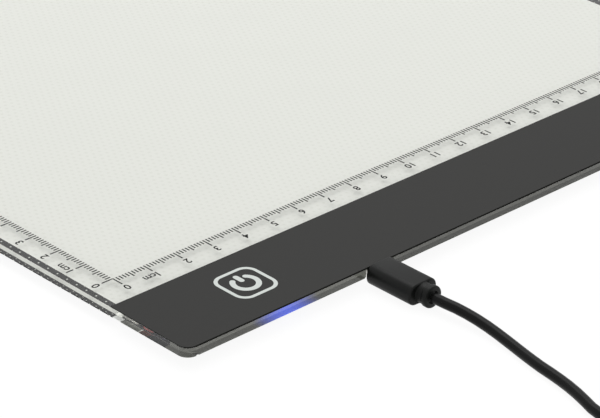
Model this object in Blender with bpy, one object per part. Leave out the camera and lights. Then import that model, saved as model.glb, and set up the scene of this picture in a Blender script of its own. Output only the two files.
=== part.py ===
"""LED tracing pad with its USB lead, as an assembly of separate pieces.

A clear acrylic light guide plate lies on a white reflector sheet. Strips of black tape bond its
rim to a thin rear cover with four rubber feet. A dark control film covers the front band, and
under it a window in the plate holds the LED board, the driver board, two wires and the socket.
The lead has a micro-USB plug, a cord that leaves over the table, a wound coil and a USB-A plug.

Frame: X across the pad, Y away from the front edge, Z up. The origin is on the table, under the
middle of the pad. Units are metres.
"""
import math

import bmesh
import bpy
import numpy as np
from mathutils import Vector

for old_object in list(bpy.data.objects):
    bpy.data.objects.remove(old_object, do_unlink=True)

MM = 0.001

# Pad: outline and layers, from the table upwards
pad_width = 235 * MM
pad_length = 335 * MM
corner_radius = 3 * MM
foot_height = 1.5 * MM
cover_thickness = 0.9 * MM
backing_thickness = 0.12 * MM
plate_thickness = 2.5 * MM
film_thickness = 0.2 * MM
glue_line = 0.05 * MM
fit_gap = 0.3 * MM

# Pad: the band, the rim round the window and the rear cover's inset
band_depth = 27.75 * MM
rim_width = 3.6 * MM
lit_edge_setback = 2.2 * MM
cover_inset = 1.6 * MM
foot_diameter = 10 * MM
foot_inset = 15 * MM
foot_bevel = 0.4 * MM

# LED board and its LEDs
board_thickness = 0.8 * MM
led_board_depth = 5 * MM
led_length = 3 * MM
led_depth = 1.2 * MM
led_height = 1.3 * MM
led_pitch = 6 * MM
led_edge_gap = 0.1 * MM
solder_gap = 0.05 * MM
solder_sink = 0.1 * MM

# Driver board: its ends are measured from the power symbol and from the socket
symbol_from_side = 32.6 * MM
symbol_from_front = 14.55 * MM
board_past_symbol = 13 * MM
board_past_socket = 9 * MM
board_gap = 1 * MM
board_corner = 1 * MM
touch_pad_side = 9 * MM
touch_pad_corner = 2 * MM
touch_pad_gap = 0.25 * MM

# Small parts on the driver board. Their run shares are places along the run from the power symbol
# to the socket. Chips have a drafted body with legs along both long sides.
touch_chip_length = 2.9 * MM
touch_chip_depth = 1.6 * MM
touch_chip_height = 1.1 * MM
driver_chip_length = 4.9 * MM
driver_chip_depth = 3.9 * MM
driver_chip_height = 1.35 * MM
chip_draft = 0.15 * MM
leg_width = 0.4 * MM
leg_reach = 0.9 * MM
leg_thickness = 0.15 * MM
touch_chip_pitch = 0.95 * MM
driver_chip_pitch = 1.27 * MM
inductor_diameter = 4.2 * MM
inductor_waist = 3.2 * MM
inductor_height = 1.5 * MM
inductor_flange = 0.35 * MM
inductor_run_share = 0.74
touch_chip_run_share = 0.34
driver_chip_run_share = 0.54
capacitor_length = 2 * MM
capacitor_depth = 1.25 * MM
capacitor_height = 0.9 * MM
resistor_length = 1.6 * MM
resistor_depth = 0.8 * MM
resistor_height = 0.45 * MM
small_part_bevel = 0.08 * MM
row_share = 0.36
capacitor_place_shares = ((0.40, 1), (0.80, -1), (1.16, 1))
resistor_place_shares = ((0.30, -1), (0.42, -1), (0.54, -1), (0.66, -1))
indicator_length = 3 * MM
indicator_depth = 1.1 * MM
indicator_height = 1.2 * MM

# Wires. A route's points are shares of the way from the window's left wall to the driver board, of
# the window's depth from the lit edge, and of the rise from the rear cover to the boards.
wire_diameter = 1 * MM
red_wire_shares = ((0.275, 0.19, 1), (0.225, 0.31, 0.8), (0.08, 0.42, 0.15), (0.21, 0.5, 0),
                   (0.5, 0.51, 0), (0.89, 0.51, 1), (1.075, 0.51, 1))
black_wire_shares = ((0.51, 0.19, 1), (0.52, 0.32, 1.25), (0.475, 0.49, 1.45), (0.225, 0.59, 0.55),
                     (0.08, 0.685, 0), (0.25, 0.755, 0), (0.56, 0.765, 0), (0.89, 0.765, 1),
                     (1.075, 0.765, 1))

# Micro-USB plug and socket, which share the plug shell's section
socket_from_side = 65.1 * MM
micro_width = 6.85 * MM
micro_height = 1.8 * MM
micro_chamfer_width = 1.1 * MM
micro_chamfer_height = 0.8 * MM
micro_nick = 0.2 * MM
plug_wall = 0.25 * MM
plug_reach = 5.4 * MM
plug_root = 1.5 * MM
plug_clearance = 0.1 * MM
plug_edge_gap = 0.65 * MM
socket_wall = 0.3 * MM
socket_depth = 5.6 * MM
socket_lip_flare = 0.45 * MM
socket_lip_depth = 0.8 * MM
socket_edge_gap = 0.1 * MM
socket_notch_width = 10 * MM
socket_block_depth = 0.35 * MM
socket_wing_width = 0.9 * MM
socket_wing_depth = 1.5 * MM
tongue_width = 3.9 * MM
tongue_thickness = 0.6 * MM
tongue_length = 3.5 * MM
tongue_rise = 0.2 * MM
contact_pitch = 0.65 * MM
contact_width = 0.3 * MM
contact_thickness = 0.06 * MM
insert_floor = 0.3 * MM
insert_side_gap = 0.05 * MM

# Micro-USB plug overmould: body, neck and collar are one moulding
overmould_width = 9.8 * MM
overmould_height = 5.8 * MM
overmould_corner = 2.6 * MM
overmould_length = 14.7 * MM
overmould_fillet = 0.5 * MM
neck_diameter = 5 * MM
neck_length = 1.8 * MM
collar_diameter = 6.1 * MM
collar_length = 1.7 * MM
collar_fillet = 0.35 * MM
pocket_gap = 0.1 * MM

# Cord, coil and tie. The seen route's points are the distance to the right of the socket, the
# distance from the plug's collar and the level, in millimetres.
cord_diameter = 2.9 * MM
seen_route = ((0, 0, 3.15), (0.1, 3.5, 3.15), (0.55, 7.2, 3.02), (0.8, 12.6, 2.67), (0.6, 18.5, 2.17),
              (-0.2, 24.9, 1.67), (-1.5, 31.35, 1.5), (-2.8, 37.75, 1.5), (-3.7, 43.85, 1.5),
              (-5.1, 50.35, 1.5), (-7.4, 57.45, 1.5), (-8.5, 61.05, 1.5))
coil_start_forward = 101.4 * MM
coil_start_aside = -12.6 * MM
coil_outer_radius = 21.5 * MM
turn_gap = 0.5 * MM
tie_thickness = 0.5 * MM
tie_width = 4 * MM
tie_gap = 0.3 * MM
tie_corner = 1.5 * MM
tail_length = 46 * MM
tail_route_shares = ((0.0, 0.0), (0.16, 0.03), (0.4, 0.42), (0.62, 0.83), (0.86, 1.0), (1.0, 1.0))

# USB-A plug
usb_a_width = 12 * MM
usb_a_height = 4.5 * MM
usb_a_wall = 0.3 * MM
usb_a_corner = 0.5 * MM
usb_a_reach = 12 * MM
usb_a_root = 3 * MM
usb_a_insert_height = 1.9 * MM
usb_a_grip_width = 15.8 * MM
usb_a_grip_height = 7.6 * MM
usb_a_grip_corner = 2 * MM
usb_a_grip_length = 21 * MM
usb_a_relief_length = 8 * MM
usb_a_relief_diameter = 4.6 * MM
usb_a_window = 2 * MM
usb_a_window_spacing = 4.8 * MM
usb_a_window_share = 0.55

# Counts and angles
corner_steps = 6
small_corner_steps = 2
round_steps = 20
curve_samples = 40
smooth_angle = math.radians(35)
led_count = int((pad_width - 2 * rim_width) // led_pitch) - 1
touch_chip_legs = 3
driver_chip_legs = 4
contact_count = 5
turns_per_layer = 3.25
coil_layers = 4
climb_turns = 0.5
points_per_turn = 24
diameters_per_point = 2.4
coil_heading = math.radians(252.5)
tie_angle = math.radians(-20)

# Levels of the layers, from the table upwards
cover_low = foot_height + glue_line
cover_top = cover_low + cover_thickness
backing_low = cover_top + glue_line
backing_top = backing_low + backing_thickness
plate_low = backing_top + glue_line
plate_top = plate_low + plate_thickness
film_low = plate_top + glue_line
film_top = film_low + film_thickness
board_low = cover_top + fit_gap
board_top = board_low + board_thickness
parts_low = board_top + solder_gap
coil_low_level = tie_thickness + tie_gap + cord_diameter / 2

# Places in the plan
side_x = pad_width / 2
front_y = -pad_length / 2
back_y = pad_length / 2
band_y = front_y + band_depth
window_x = side_x - rim_width
window_front_y = front_y + rim_width
lit_edge_y = band_y - lit_edge_setback
symbol_x = -side_x + symbol_from_side
symbol_y = front_y + symbol_from_front
socket_x = -side_x + socket_from_side
socket_z = board_low + board_thickness / 2
socket_mouth_y = front_y + socket_edge_gap
socket_back_y = socket_mouth_y + socket_depth
led_board_back_y = lit_edge_y - fit_gap
led_board_front_y = led_board_back_y - led_board_depth
board_back_y = led_board_front_y - board_gap
board_front_y = window_front_y + fit_gap
board_left_x = symbol_x - board_past_symbol
board_right_x = socket_x + board_past_socket
plug_face_y = front_y - plug_edge_gap


def make_material(name, color, roughness, metallic=0.0, transmission=0.0):
    """A Principled BSDF material with one colour."""
    material = bpy.data.materials.new(name)
    material.use_nodes = True
    shader = material.node_tree.nodes["Principled BSDF"]
    shader.inputs["Base Color"].default_value = (*color, 1.0)
    shader.inputs["Roughness"].default_value = roughness
    shader.inputs["Metallic"].default_value = metallic
    shader.inputs["Transmission Weight"].default_value = transmission
    return material


acrylic = make_material("acrylic", (0.90, 0.91, 0.88), 0.15, transmission=0.6)
dark_film = make_material("dark_film", (0.055, 0.055, 0.05), 0.5)
black_tape = make_material("black_tape", (0.03, 0.03, 0.03), 0.7)
white_sheet = make_material("white_sheet", (0.88, 0.88, 0.85), 0.6)
cover_plastic = make_material("cover_plastic", (0.80, 0.80, 0.79), 0.5)
foot_rubber = make_material("foot_rubber", (0.04, 0.04, 0.04), 0.8)
white_board = make_material("white_board", (0.75, 0.75, 0.72), 0.5)
green_board = make_material("green_board", (0.03, 0.12, 0.06), 0.45)
blue_led = make_material("blue_led", (0.45, 0.55, 0.95), 0.3)
chip_black = make_material("chip_black", (0.03, 0.03, 0.035), 0.5)
copper_foil = make_material("copper_foil", (0.72, 0.42, 0.27), 0.35, 1.0)
ferrite = make_material("ferrite", (0.08, 0.08, 0.085), 0.6)
ceramic_tan = make_material("ceramic_tan", (0.48, 0.38, 0.27), 0.5)
red_sleeve = make_material("red_sleeve", (0.55, 0.03, 0.03), 0.45)
black_sleeve = make_material("black_sleeve", (0.03, 0.03, 0.04), 0.45)
bright_steel = make_material("bright_steel", (0.72, 0.72, 0.70), 0.25, 1.0)
black_insert = make_material("black_insert", (0.025, 0.025, 0.025), 0.5)
white_insert = make_material("white_insert", (0.82, 0.82, 0.80), 0.5)
black_pvc = make_material("black_pvc", (0.022, 0.023, 0.022), 0.55)


def add_mesh_object(name, work, material):
    """Turn a finished bmesh into an object whose faces point out."""
    bmesh.ops.recalc_face_normals(work, faces=work.faces)
    mesh = bpy.data.meshes.new(name)
    work.to_mesh(mesh)
    work.free()
    mesh.shade_smooth()
    mesh.set_sharp_from_angle(angle=smooth_angle)
    item = bpy.data.objects.new(name, mesh)
    bpy.context.scene.collection.objects.link(item)
    if material is not None:
        item.data.materials.append(material)
    return item


def rounded_rectangle(width, depth, radius, steps=corner_steps):
    """Counter-clockwise outline about the origin, each corner an arc of the given steps."""
    points = []
    corners = ((1, 1), (-1, 1), (-1, -1), (1, -1))
    for quarter, (side_u, side_v) in enumerate(corners):
        middle_u = side_u * (width / 2 - radius)
        middle_v = side_v * (depth / 2 - radius)
        for step in range(steps + 1):
            angle = math.pi / 2 * (quarter + step / steps)
            points.append((middle_u + radius * math.cos(angle), middle_v + radius * math.sin(angle)))
    return points


def circle(diameter):
    """Outline of a circle with as many points as a rounded rectangle has."""
    return rounded_rectangle(diameter, diameter, diameter / 2)


def add_loft(work, rings, closed=False):
    """Skin rings of equal point count; cap both ends, or close the last onto the first."""
    rows = [[work.verts.new(point) for point in ring] for ring in rings]
    pairs = list(zip(rows, rows[1:]))
    if closed:
        pairs.append((rows[-1], rows[0]))
    for low_row, high_row in pairs:
        for index in range(len(low_row)):
            after = (index + 1) % len(low_row)
            work.faces.new((low_row[index], low_row[after], high_row[after], high_row[index]))
    if not closed:
        work.faces.new(rows[0])
        work.faces.new(rows[-1])


def loft(name, rings, material, closed=False):
    """One object skinned over rings of points."""
    work = bmesh.new()
    add_loft(work, rings, closed)
    return add_mesh_object(name, work, material)


def prism(name, outline, low, high, material, centre=(0, 0)):
    """An outline in the plan, extruded between two levels."""
    rings = [[(u + centre[0], v + centre[1], level) for u, v in outline] for level in (low, high)]
    return loft(name, rings, material)


def box_rings(low, high):
    """Two rings of a box between its lowest and highest corners."""
    plan = ((low[0], low[1]), (high[0], low[1]), (high[0], high[1]), (low[0], high[1]))
    return [[(x, y, z) for x, y in plan] for z in (low[2], high[2])]


def box(name, low, high, material):
    """A box between its lowest and highest corners."""
    return loft(name, box_rings(low, high), material)


def cutter(item):
    """Make an object a hidden tool."""
    item.hide_render = True
    item.display_type = "WIRE"
    return item


def join_by_boolean(target, tool, operation):
    """Cut a tool from the target, or weld it on."""
    step = target.modifiers.new(operation.lower() + "_" + tool.name, "BOOLEAN")
    step.operation = operation
    step.solver = "EXACT"
    step.object = cutter(tool)


def bevelled_block(work, low, high, bevel):
    """A block whose top edges are chamfered, as small parts are."""
    plan = ((low[0], low[1]), (high[0], low[1]), (high[0], high[1]), (low[0], high[1]))
    middle = ((low[0] + high[0]) / 2, (low[1] + high[1]) / 2)
    inner = [(x + math.copysign(bevel, middle[0] - x), y + math.copysign(bevel, middle[1] - y))
             for x, y in plan]
    rings = [[(x, y, low[2]) for x, y in plan],
             [(x, y, high[2] - bevel) for x, y in plan],
             [(x, y, high[2]) for x, y in inner]]
    add_loft(work, rings)


def turned(name, profile, centre, material):
    """A round piece from (radius, level) pairs, bottom to top."""
    rings = []
    for radius, level in profile:
        turn = [2 * math.pi * step / round_steps for step in range(round_steps)]
        rings.append([(centre[0] + radius * math.cos(angle), centre[1] + radius * math.sin(angle), level)
                      for angle in turn])
    return loft(name, rings, material)


def smooth_route(points, spacing):
    """Points at an even spacing along a Catmull-Rom curve through the route's own points."""
    route = np.array(points, dtype=float)
    route = np.vstack([2 * route[0] - route[1], route, 2 * route[-1] - route[-2]])
    share = np.linspace(0.0, 1.0, curve_samples, endpoint=False)[:, None]
    dense = []
    for before, start, end, after in zip(route, route[1:], route[2:], route[3:]):
        dense.append(0.5 * (2 * start + (end - before) * share
                            + (2 * before - 5 * start + 4 * end - after) * share ** 2
                            + (3 * start - before - 3 * end + after) * share ** 3))
    dense = np.vstack(dense + [route[-2][None, :]])
    along = np.concatenate([[0.0], np.cumsum(np.linalg.norm(np.diff(dense, axis=0), axis=1))])
    count = max(4, int(round(along[-1] / spacing)) + 1)
    even = np.linspace(0.0, along[-1], count)
    return np.column_stack([np.interp(even, along, dense[:, axis]) for axis in range(3)])


def route_length(points):
    """Length of a line through points."""
    return float(np.sum(np.linalg.norm(np.diff(np.array(points), axis=0), axis=1)))


def tube(name, points, diameter, material, resolution=2):
    """A round cord or wire along points."""
    curve = bpy.data.curves.new(name, "CURVE")
    curve.dimensions = "3D"
    curve.bevel_depth = diameter / 2
    curve.bevel_resolution = resolution
    curve.use_fill_caps = True
    spline = curve.splines.new("POLY")
    spline.points.add(len(points) - 1)
    for slot, point in zip(spline.points, points):
        slot.co = (*point, 1.0)
    item = bpy.data.objects.new(name, curve)
    bpy.context.scene.collection.objects.link(item)
    curve.materials.append(material)
    return item


# Light guide plate: a rounded sheet with the electronics window and the socket's notch

def make_light_guide_plate():
    """Clear plate, cut through for the electronics and open at the front for the socket."""
    plate = prism("light_guide_plate", rounded_rectangle(pad_width, pad_length, corner_radius),
                  plate_low, plate_top, acrylic)
    overrun = plate_thickness
    window = box("window_tool", (-window_x, window_front_y, plate_low - overrun),
                 (window_x, lit_edge_y, plate_top + overrun), None)
    join_by_boolean(plate, window, "DIFFERENCE")
    notch = box("notch_tool", (socket_x - socket_notch_width / 2, front_y - overrun, plate_low - overrun),
                (socket_x + socket_notch_width / 2, window_front_y + rim_width / 2, plate_top + overrun),
                None)
    join_by_boolean(plate, notch, "DIFFERENCE")


def make_control_film():
    """Dark printed film over the front band, its front corners rounded as the plate's are."""
    film = prism("control_film", rounded_rectangle(pad_width, pad_length, corner_radius),
                 film_low, film_top, dark_film)
    overrun = band_depth
    rest = box("film_tool", (-pad_width, band_y, film_low - overrun),
               (pad_width, back_y + overrun, film_top + overrun), None)
    join_by_boolean(film, rest, "DIFFERENCE")


def make_backing():
    """White reflector sheet, and the black tape strips that frame it and the window."""
    sheet_x = window_x - fit_gap
    box("reflector_sheet", (-sheet_x, lit_edge_y + fit_gap, backing_low),
        (sheet_x, back_y - rim_width - fit_gap, backing_top), white_sheet)
    side_low = front_y + corner_radius
    side_high = back_y - corner_radius
    inner_x = side_x - rim_width
    notch_left = socket_x - socket_notch_width / 2
    notch_right = socket_x + socket_notch_width / 2
    strips = {
        "border_tape_left": ((-side_x, side_low), (-inner_x, side_high)),
        "border_tape_right": ((inner_x, side_low), (side_x, side_high)),
        "border_tape_back": ((-inner_x + fit_gap, back_y - rim_width), (inner_x - fit_gap, back_y)),
        "border_tape_front_left": ((-inner_x + fit_gap, front_y), (notch_left, window_front_y)),
        "border_tape_front_right": ((notch_right, front_y), (inner_x - fit_gap, window_front_y)),
    }
    for name, (low, high) in strips.items():
        box(name, (*low, backing_low), (*high, backing_top), black_tape)


def make_rear_cover():
    """Thin plastic back, a little smaller than the plate, notched for the socket."""
    outline = rounded_rectangle(pad_width - 2 * cover_inset, pad_length - 2 * cover_inset, corner_radius)
    cover = prism("rear_cover", outline, cover_low, cover_top, cover_plastic)
    overrun = cover_thickness
    notch = box("cover_notch_tool",
                (socket_x - socket_notch_width / 2, front_y - overrun, cover_low - overrun),
                (socket_x + socket_notch_width / 2, socket_back_y + fit_gap, cover_top + overrun), None)
    join_by_boolean(cover, notch, "DIFFERENCE")


def make_feet():
    """Four round rubber feet, stuck under the corners of the rear cover."""
    radius = foot_diameter / 2
    profile = ((radius - foot_bevel, 0), (radius, foot_bevel), (radius, foot_height))
    foot_x = side_x - foot_inset
    foot_y = pad_length / 2 - foot_inset
    places = {"front_left": (-foot_x, -foot_y), "front_right": (foot_x, -foot_y),
              "back_left": (-foot_x, foot_y), "back_right": (foot_x, foot_y)}
    for corner, place in places.items():
        turned("foot_" + corner, profile, place, foot_rubber)


# LED board: side-view LEDs whose faces look at the plate's lit edge

def make_led_board():
    """A narrow board along the lit edge, with its row of LEDs soldered to it."""
    board_x = window_x - fit_gap
    board = box("led_board", (-board_x, led_board_front_y, board_low),
                (board_x, led_board_back_y, board_top), white_board)
    work = bmesh.new()
    led_back = led_board_back_y - led_edge_gap
    for index in range(led_count):
        middle = (index - (led_count - 1) / 2) * led_pitch
        bevelled_block(work, (middle - led_length / 2, led_back - led_depth, board_top - solder_sink),
                       (middle + led_length / 2, led_back, board_top + led_height), small_part_bevel)
    join_by_boolean(board, add_mesh_object("led_row_tool", work, None), "UNION")


# Driver board and what is soldered to it

def make_driver_board():
    """Board with a slot in its front edge, in which the socket sits half sunk."""
    width = board_right_x - board_left_x
    depth = board_back_y - board_front_y
    middle = ((board_left_x + board_right_x) / 2, (board_back_y + board_front_y) / 2)
    board = prism("driver_board", rounded_rectangle(width, depth, board_corner), board_low, board_top,
                  green_board, middle)
    half = micro_width / 2 + plug_clearance + socket_wall + fit_gap
    overrun = board_thickness
    slot = box("slot_tool", (socket_x - half, board_front_y - overrun, board_low - overrun),
               (socket_x + half, socket_back_y + fit_gap, board_top + overrun), None)
    join_by_boolean(board, slot, "DIFFERENCE")


def make_touch_pad():
    """Copper-faced foam pad that carries the touch field up to the control film."""
    outline = rounded_rectangle(touch_pad_side, touch_pad_side, touch_pad_corner)
    prism("touch_pad", outline, parts_low, film_low - touch_pad_gap, copper_foil, (symbol_x, symbol_y))


def make_chip(name, centre, length, depth, height, legs, pitch):
    """A moulded chip body with drafted sides, and gull-wing legs along both long sides."""
    work = bmesh.new()
    half = (length / 2, depth / 2)
    foot_top = parts_low + leg_thickness
    middle = (foot_top + parts_low + height) / 2
    rings = []
    for level, inset in ((foot_top, chip_draft), (middle, 0), (parts_low + height, chip_draft)):
        x, y = half[0] - inset, half[1] - inset
        rings.append([(centre[0] + u * x, centre[1] + v * y, level)
                      for u, v in ((-1, -1), (1, -1), (1, 1), (-1, 1))])
    add_loft(work, rings)
    body = add_mesh_object(name, work, chip_black)
    work = bmesh.new()
    for side in (-1, 1):
        for index in range(legs):
            start = centre[0] + (index - (legs - 1) / 2) * pitch - leg_width / 2
            root = half[1] - chip_draft
            knee = half[1] + leg_thickness
            end = half[1] + leg_reach
            shoulder = middle + leg_thickness / 2
            outline = ((root, shoulder), (knee, shoulder), (knee, foot_top), (end, foot_top),
                       (end, parts_low), (half[1], parts_low), (half[1], shoulder - leg_thickness),
                       (root, shoulder - leg_thickness))
            rings = [[(x, centre[1] + side * y, z) for y, z in outline] for x in (start, start + leg_width)]
            add_loft(work, rings)
    join_by_boolean(body, add_mesh_object(name + "_leg_tool", work, None), "UNION")


def make_small_parts():
    """Inductor, capacitors, resistors and the indicator LED, placed between symbol and socket."""
    run = socket_x - symbol_x
    row_y = (board_back_y + board_front_y) / 2
    inductor_x = symbol_x + inductor_run_share * run
    radius = inductor_diameter / 2
    waist = inductor_waist / 2
    profile = ((radius, parts_low), (radius, parts_low + inductor_flange),
               (waist, parts_low + inductor_flange), (waist, parts_low + inductor_height - inductor_flange),
               (radius, parts_low + inductor_height - inductor_flange),
               (radius, parts_low + inductor_height))
    turned("power_inductor", profile, (inductor_x, row_y + inductor_diameter / 2), ferrite)
    make_chip("touch_chip", (symbol_x + touch_chip_run_share * run, row_y), touch_chip_length,
              touch_chip_depth, touch_chip_height, touch_chip_legs, touch_chip_pitch)
    make_chip("led_driver_chip", (symbol_x + driver_chip_run_share * run, row_y + resistor_length),
              driver_chip_length, driver_chip_depth, driver_chip_height, driver_chip_legs,
              driver_chip_pitch)
    kinds = (
        ("capacitor", ceramic_tan, (capacitor_length, capacitor_depth, capacitor_height),
         capacitor_place_shares),
        ("resistor", chip_black, (resistor_length, resistor_depth, resistor_height),
         resistor_place_shares),
    )
    for kind, material, (length, depth, height), shares in kinds:
        for number, (run_share, side) in enumerate(shares, 1):
            x = symbol_x + run_share * run
            y = row_y + side * (board_back_y - board_front_y) * row_share
            work = bmesh.new()
            bevelled_block(work, (x - length / 2, y - depth / 2, parts_low),
                           (x + length / 2, y + depth / 2, parts_low + height), small_part_bevel)
            add_mesh_object(kind + "_" + str(number), work, material)
    work = bmesh.new()
    indicator_y = board_front_y + led_edge_gap
    bevelled_block(work, (symbol_x - indicator_length / 2, indicator_y, parts_low),
                   (symbol_x + indicator_length / 2, indicator_y + indicator_depth,
                    parts_low + indicator_height), small_part_bevel)
    add_mesh_object("indicator_led", work, blue_led)


def make_wires():
    """Red and black wires from the LED board, out to the clear rim and back to the driver board."""
    on_board = parts_low + wire_diameter / 2
    on_cover = cover_top + fit_gap / 2 + wire_diameter / 2
    bay_width = board_left_x + window_x
    bay_depth = lit_edge_y - window_front_y
    wires = (("red_wire", red_sleeve, red_wire_shares), ("black_wire", black_sleeve, black_wire_shares))
    for name, material, shares in wires:
        route = [(-window_x + across * bay_width, lit_edge_y - forward * bay_depth,
                  on_cover + rise * (on_board - on_cover)) for across, forward, rise in shares]
        tube(name, smooth_route(route, wire_diameter), wire_diameter, material, resolution=1)


# Micro-USB socket and plug share one section: wide side up, both lower corners cut off

def micro_section(grow=0.0):
    """Outline (across, up) of the plug shell, grown on every side."""
    x = micro_width / 2 + grow
    z = micro_height / 2 + grow
    cut_x = x - micro_chamfer_width
    cut_z = micro_chamfer_height - z
    return ((x, z - micro_nick), (x - micro_nick, z), (micro_nick - x, z), (-x, z - micro_nick),
            (-x, cut_z), (-cut_x, -z), (cut_x, -z), (x, cut_z))


def section_ring(outline, y):
    """A section outline at the socket's place, at one station along Y."""
    return [(socket_x + u, y, socket_z + v) for u, v in outline]


def make_socket():
    """Steel shell with a flared mouth and side wings, the tongue, and its contacts."""
    inner = plug_clearance
    outer = plug_clearance + socket_wall
    flare = socket_lip_flare
    lip_y = socket_mouth_y + socket_lip_depth
    rings = [section_ring(micro_section(outer), socket_back_y),
             section_ring(micro_section(outer), lip_y),
             section_ring(micro_section(outer + flare), socket_mouth_y),
             section_ring(micro_section(inner + flare), socket_mouth_y),
             section_ring(micro_section(inner), lip_y),
             section_ring(micro_section(inner), socket_back_y - socket_wall)]
    shell = loft("usb_socket_shell", rings, bright_steel)
    half = micro_width / 2 + outer
    bite = socket_wall / 2
    for side, name in ((-1, "left"), (1, "right")):
        ends = sorted((side * (half - bite), side * (half + fit_gap + socket_wing_width)))
        wing = box("wing_tool_" + name, (socket_x + ends[0], socket_back_y - socket_wing_depth, parts_low),
                   (socket_x + ends[1], socket_back_y, parts_low + socket_wall), None)
        join_by_boolean(shell, wing, "UNION")
    block_back = socket_back_y - socket_wall - insert_side_gap
    block_front = block_back - socket_block_depth
    block_section = micro_section(inner - insert_side_gap)
    tongue = loft("usb_socket_tongue", [section_ring(block_section, y) for y in (block_front, block_back)],
                  black_insert)
    tongue_z = socket_z + tongue_rise
    blade = box("blade_tool",
                (socket_x - tongue_width / 2, block_front - tongue_length, tongue_z - tongue_thickness / 2),
                (socket_x + tongue_width / 2, block_back - socket_block_depth / 2,
                 tongue_z + tongue_thickness / 2), None)
    join_by_boolean(tongue, blade, "UNION")
    low = tongue_z - tongue_thickness / 2 - contact_thickness
    weld_contacts(tongue, block_front - tongue_length + contact_pitch, block_front - contact_thickness,
                  low, low + 2 * contact_thickness)


def weld_contacts(carrier, front, back, low, high):
    """Flat contact strips side by side, set in the plastic that carries them."""
    work = bmesh.new()
    for index in range(contact_count):
        left = socket_x + (index - (contact_count - 1) / 2) * contact_pitch - contact_width / 2
        add_loft(work, box_rings((left, front, low), (left + contact_width, back, high)))
    join_by_boolean(carrier, add_mesh_object(carrier.name + "_contact_tool", work, None), "UNION")


def make_micro_plug():
    """Plug shell open at its tip, the insert inside it, its contacts, and the overmould."""
    tip_y = plug_face_y + plug_reach
    root_y = plug_face_y - plug_root
    rings = [section_ring(micro_section(), root_y),
             section_ring(micro_section(), tip_y),
             section_ring(micro_section(-plug_wall), tip_y),
             section_ring(micro_section(-plug_wall), root_y + plug_wall)]
    loft("plug_shell", rings, bright_steel)
    tongue_tip = socket_back_y - socket_wall - insert_side_gap - socket_block_depth - tongue_length
    block_back = tongue_tip - fit_gap
    inside = -plug_wall - insert_side_gap
    block_front = root_y + plug_wall + insert_side_gap
    insert = loft("plug_insert",
                  [section_ring(micro_section(inside), y) for y in (block_front, block_back)], black_insert)
    floor_low = socket_z - micro_height / 2 - inside
    blade = box("floor_tool", (socket_x - tongue_width / 2, block_back - plug_wall, floor_low),
                (socket_x + tongue_width / 2, tip_y - plug_wall, floor_low + insert_floor), None)
    join_by_boolean(insert, blade, "UNION")
    high = floor_low + insert_floor + contact_thickness
    weld_contacts(insert, block_back + contact_thickness, tip_y - plug_wall - contact_pitch / 2,
                  high - 2 * contact_thickness, high)
    make_overmould()


def make_overmould():
    """Rounded body, round neck and collar in one moulding, with a pocket for the shell."""
    fillet = overmould_fillet
    neck_start = overmould_length
    neck_end = neck_start + neck_length
    collar_end = neck_end + collar_length

    def body(inset):
        return rounded_rectangle(overmould_width - 2 * inset, overmould_height - 2 * inset,
                                 overmould_corner - inset)

    soft_inset = fillet * (1 - math.cos(math.pi / 4))
    stations = [(0, body(fillet)), (soft_inset, body(soft_inset)), (fillet, body(0)),
                (neck_start - fillet, body(0)), (neck_start - soft_inset, body(soft_inset)),
                (neck_start, body(fillet)), (neck_start, circle(neck_diameter)),
                (neck_end, circle(neck_diameter)), (neck_end, circle(collar_diameter - 2 * collar_fillet)),
                (neck_end + collar_fillet, circle(collar_diameter)),
                (collar_end - collar_fillet, circle(collar_diameter)),
                (collar_end, circle(collar_diameter - 2 * collar_fillet))]
    rings = [section_ring(outline, plug_face_y - station) for station, outline in stations]
    overmould = loft("plug_overmould", rings, black_pvc)
    pocket = loft("pocket_tool",
                  [section_ring(micro_section(pocket_gap), y)
                   for y in (plug_face_y - plug_root - pocket_gap, plug_face_y + fillet)], None)
    join_by_boolean(overmould, pocket, "DIFFERENCE")


# Cord: the run from the plug over the table, then the wound coil, then the tail to the USB-A plug

def heading_vector(angle):
    """Unit vector in the plan."""
    return np.array((math.cos(angle), math.sin(angle), 0.0))


def coil_path():
    """Points of the wound coil.

    The cord spirals in and out at a steady rate in layers on top of each other. It climbs to the
    next layer in the half turn where the spiral reverses. Both ends run straight for a diameter.
    """
    pitch = cord_diameter + turn_gap
    first_angle = coil_heading - math.pi / 2
    start = np.array((socket_x + coil_start_aside, front_y - coil_start_forward, coil_low_level))
    centre = start - coil_outer_radius * heading_vector(first_angle)
    total_turns = turns_per_layer * coil_layers
    count = int(round(total_turns * points_per_turn)) + 1
    turns = np.linspace(0.0, total_turns, count)
    phase = np.mod(turns / turns_per_layer, 2.0)
    inward = np.minimum(phase, 2.0 - phase) * turns_per_layer
    radius = coil_outer_radius - pitch * inward
    angle = first_angle + 2 * math.pi * turns
    level = np.full_like(turns, coil_low_level)
    for reversal in range(1, coil_layers):
        climb = np.clip((turns - reversal * turns_per_layer) / climb_turns + 0.5, 0.0, 1.0)
        level += pitch * climb * climb * (3 - 2 * climb)
    path = np.column_stack([centre[0] + radius * np.cos(angle), centre[1] + radius * np.sin(angle), level])
    first_way = heading_vector(coil_heading)
    last_way = heading_vector(coil_heading + 2 * math.pi * total_turns)
    path = np.vstack([path[0] - cord_diameter * first_way, path, path[-1] + cord_diameter * last_way])
    return path, centre, first_way, last_way


def least_self_gap(points, diameter):
    """Smallest clear gap between stretches of a tube that are not neighbours along it."""
    along = np.concatenate([[0.0], np.cumsum(np.linalg.norm(np.diff(points, axis=0), axis=1))])
    apart = np.linalg.norm(points[:, None, :] - points[None, :, :], axis=2)
    neighbours = np.abs(along[:, None] - along[None, :]) < 3 * diameter
    return float(np.min(np.where(neighbours, np.inf, apart))) - diameter


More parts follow.
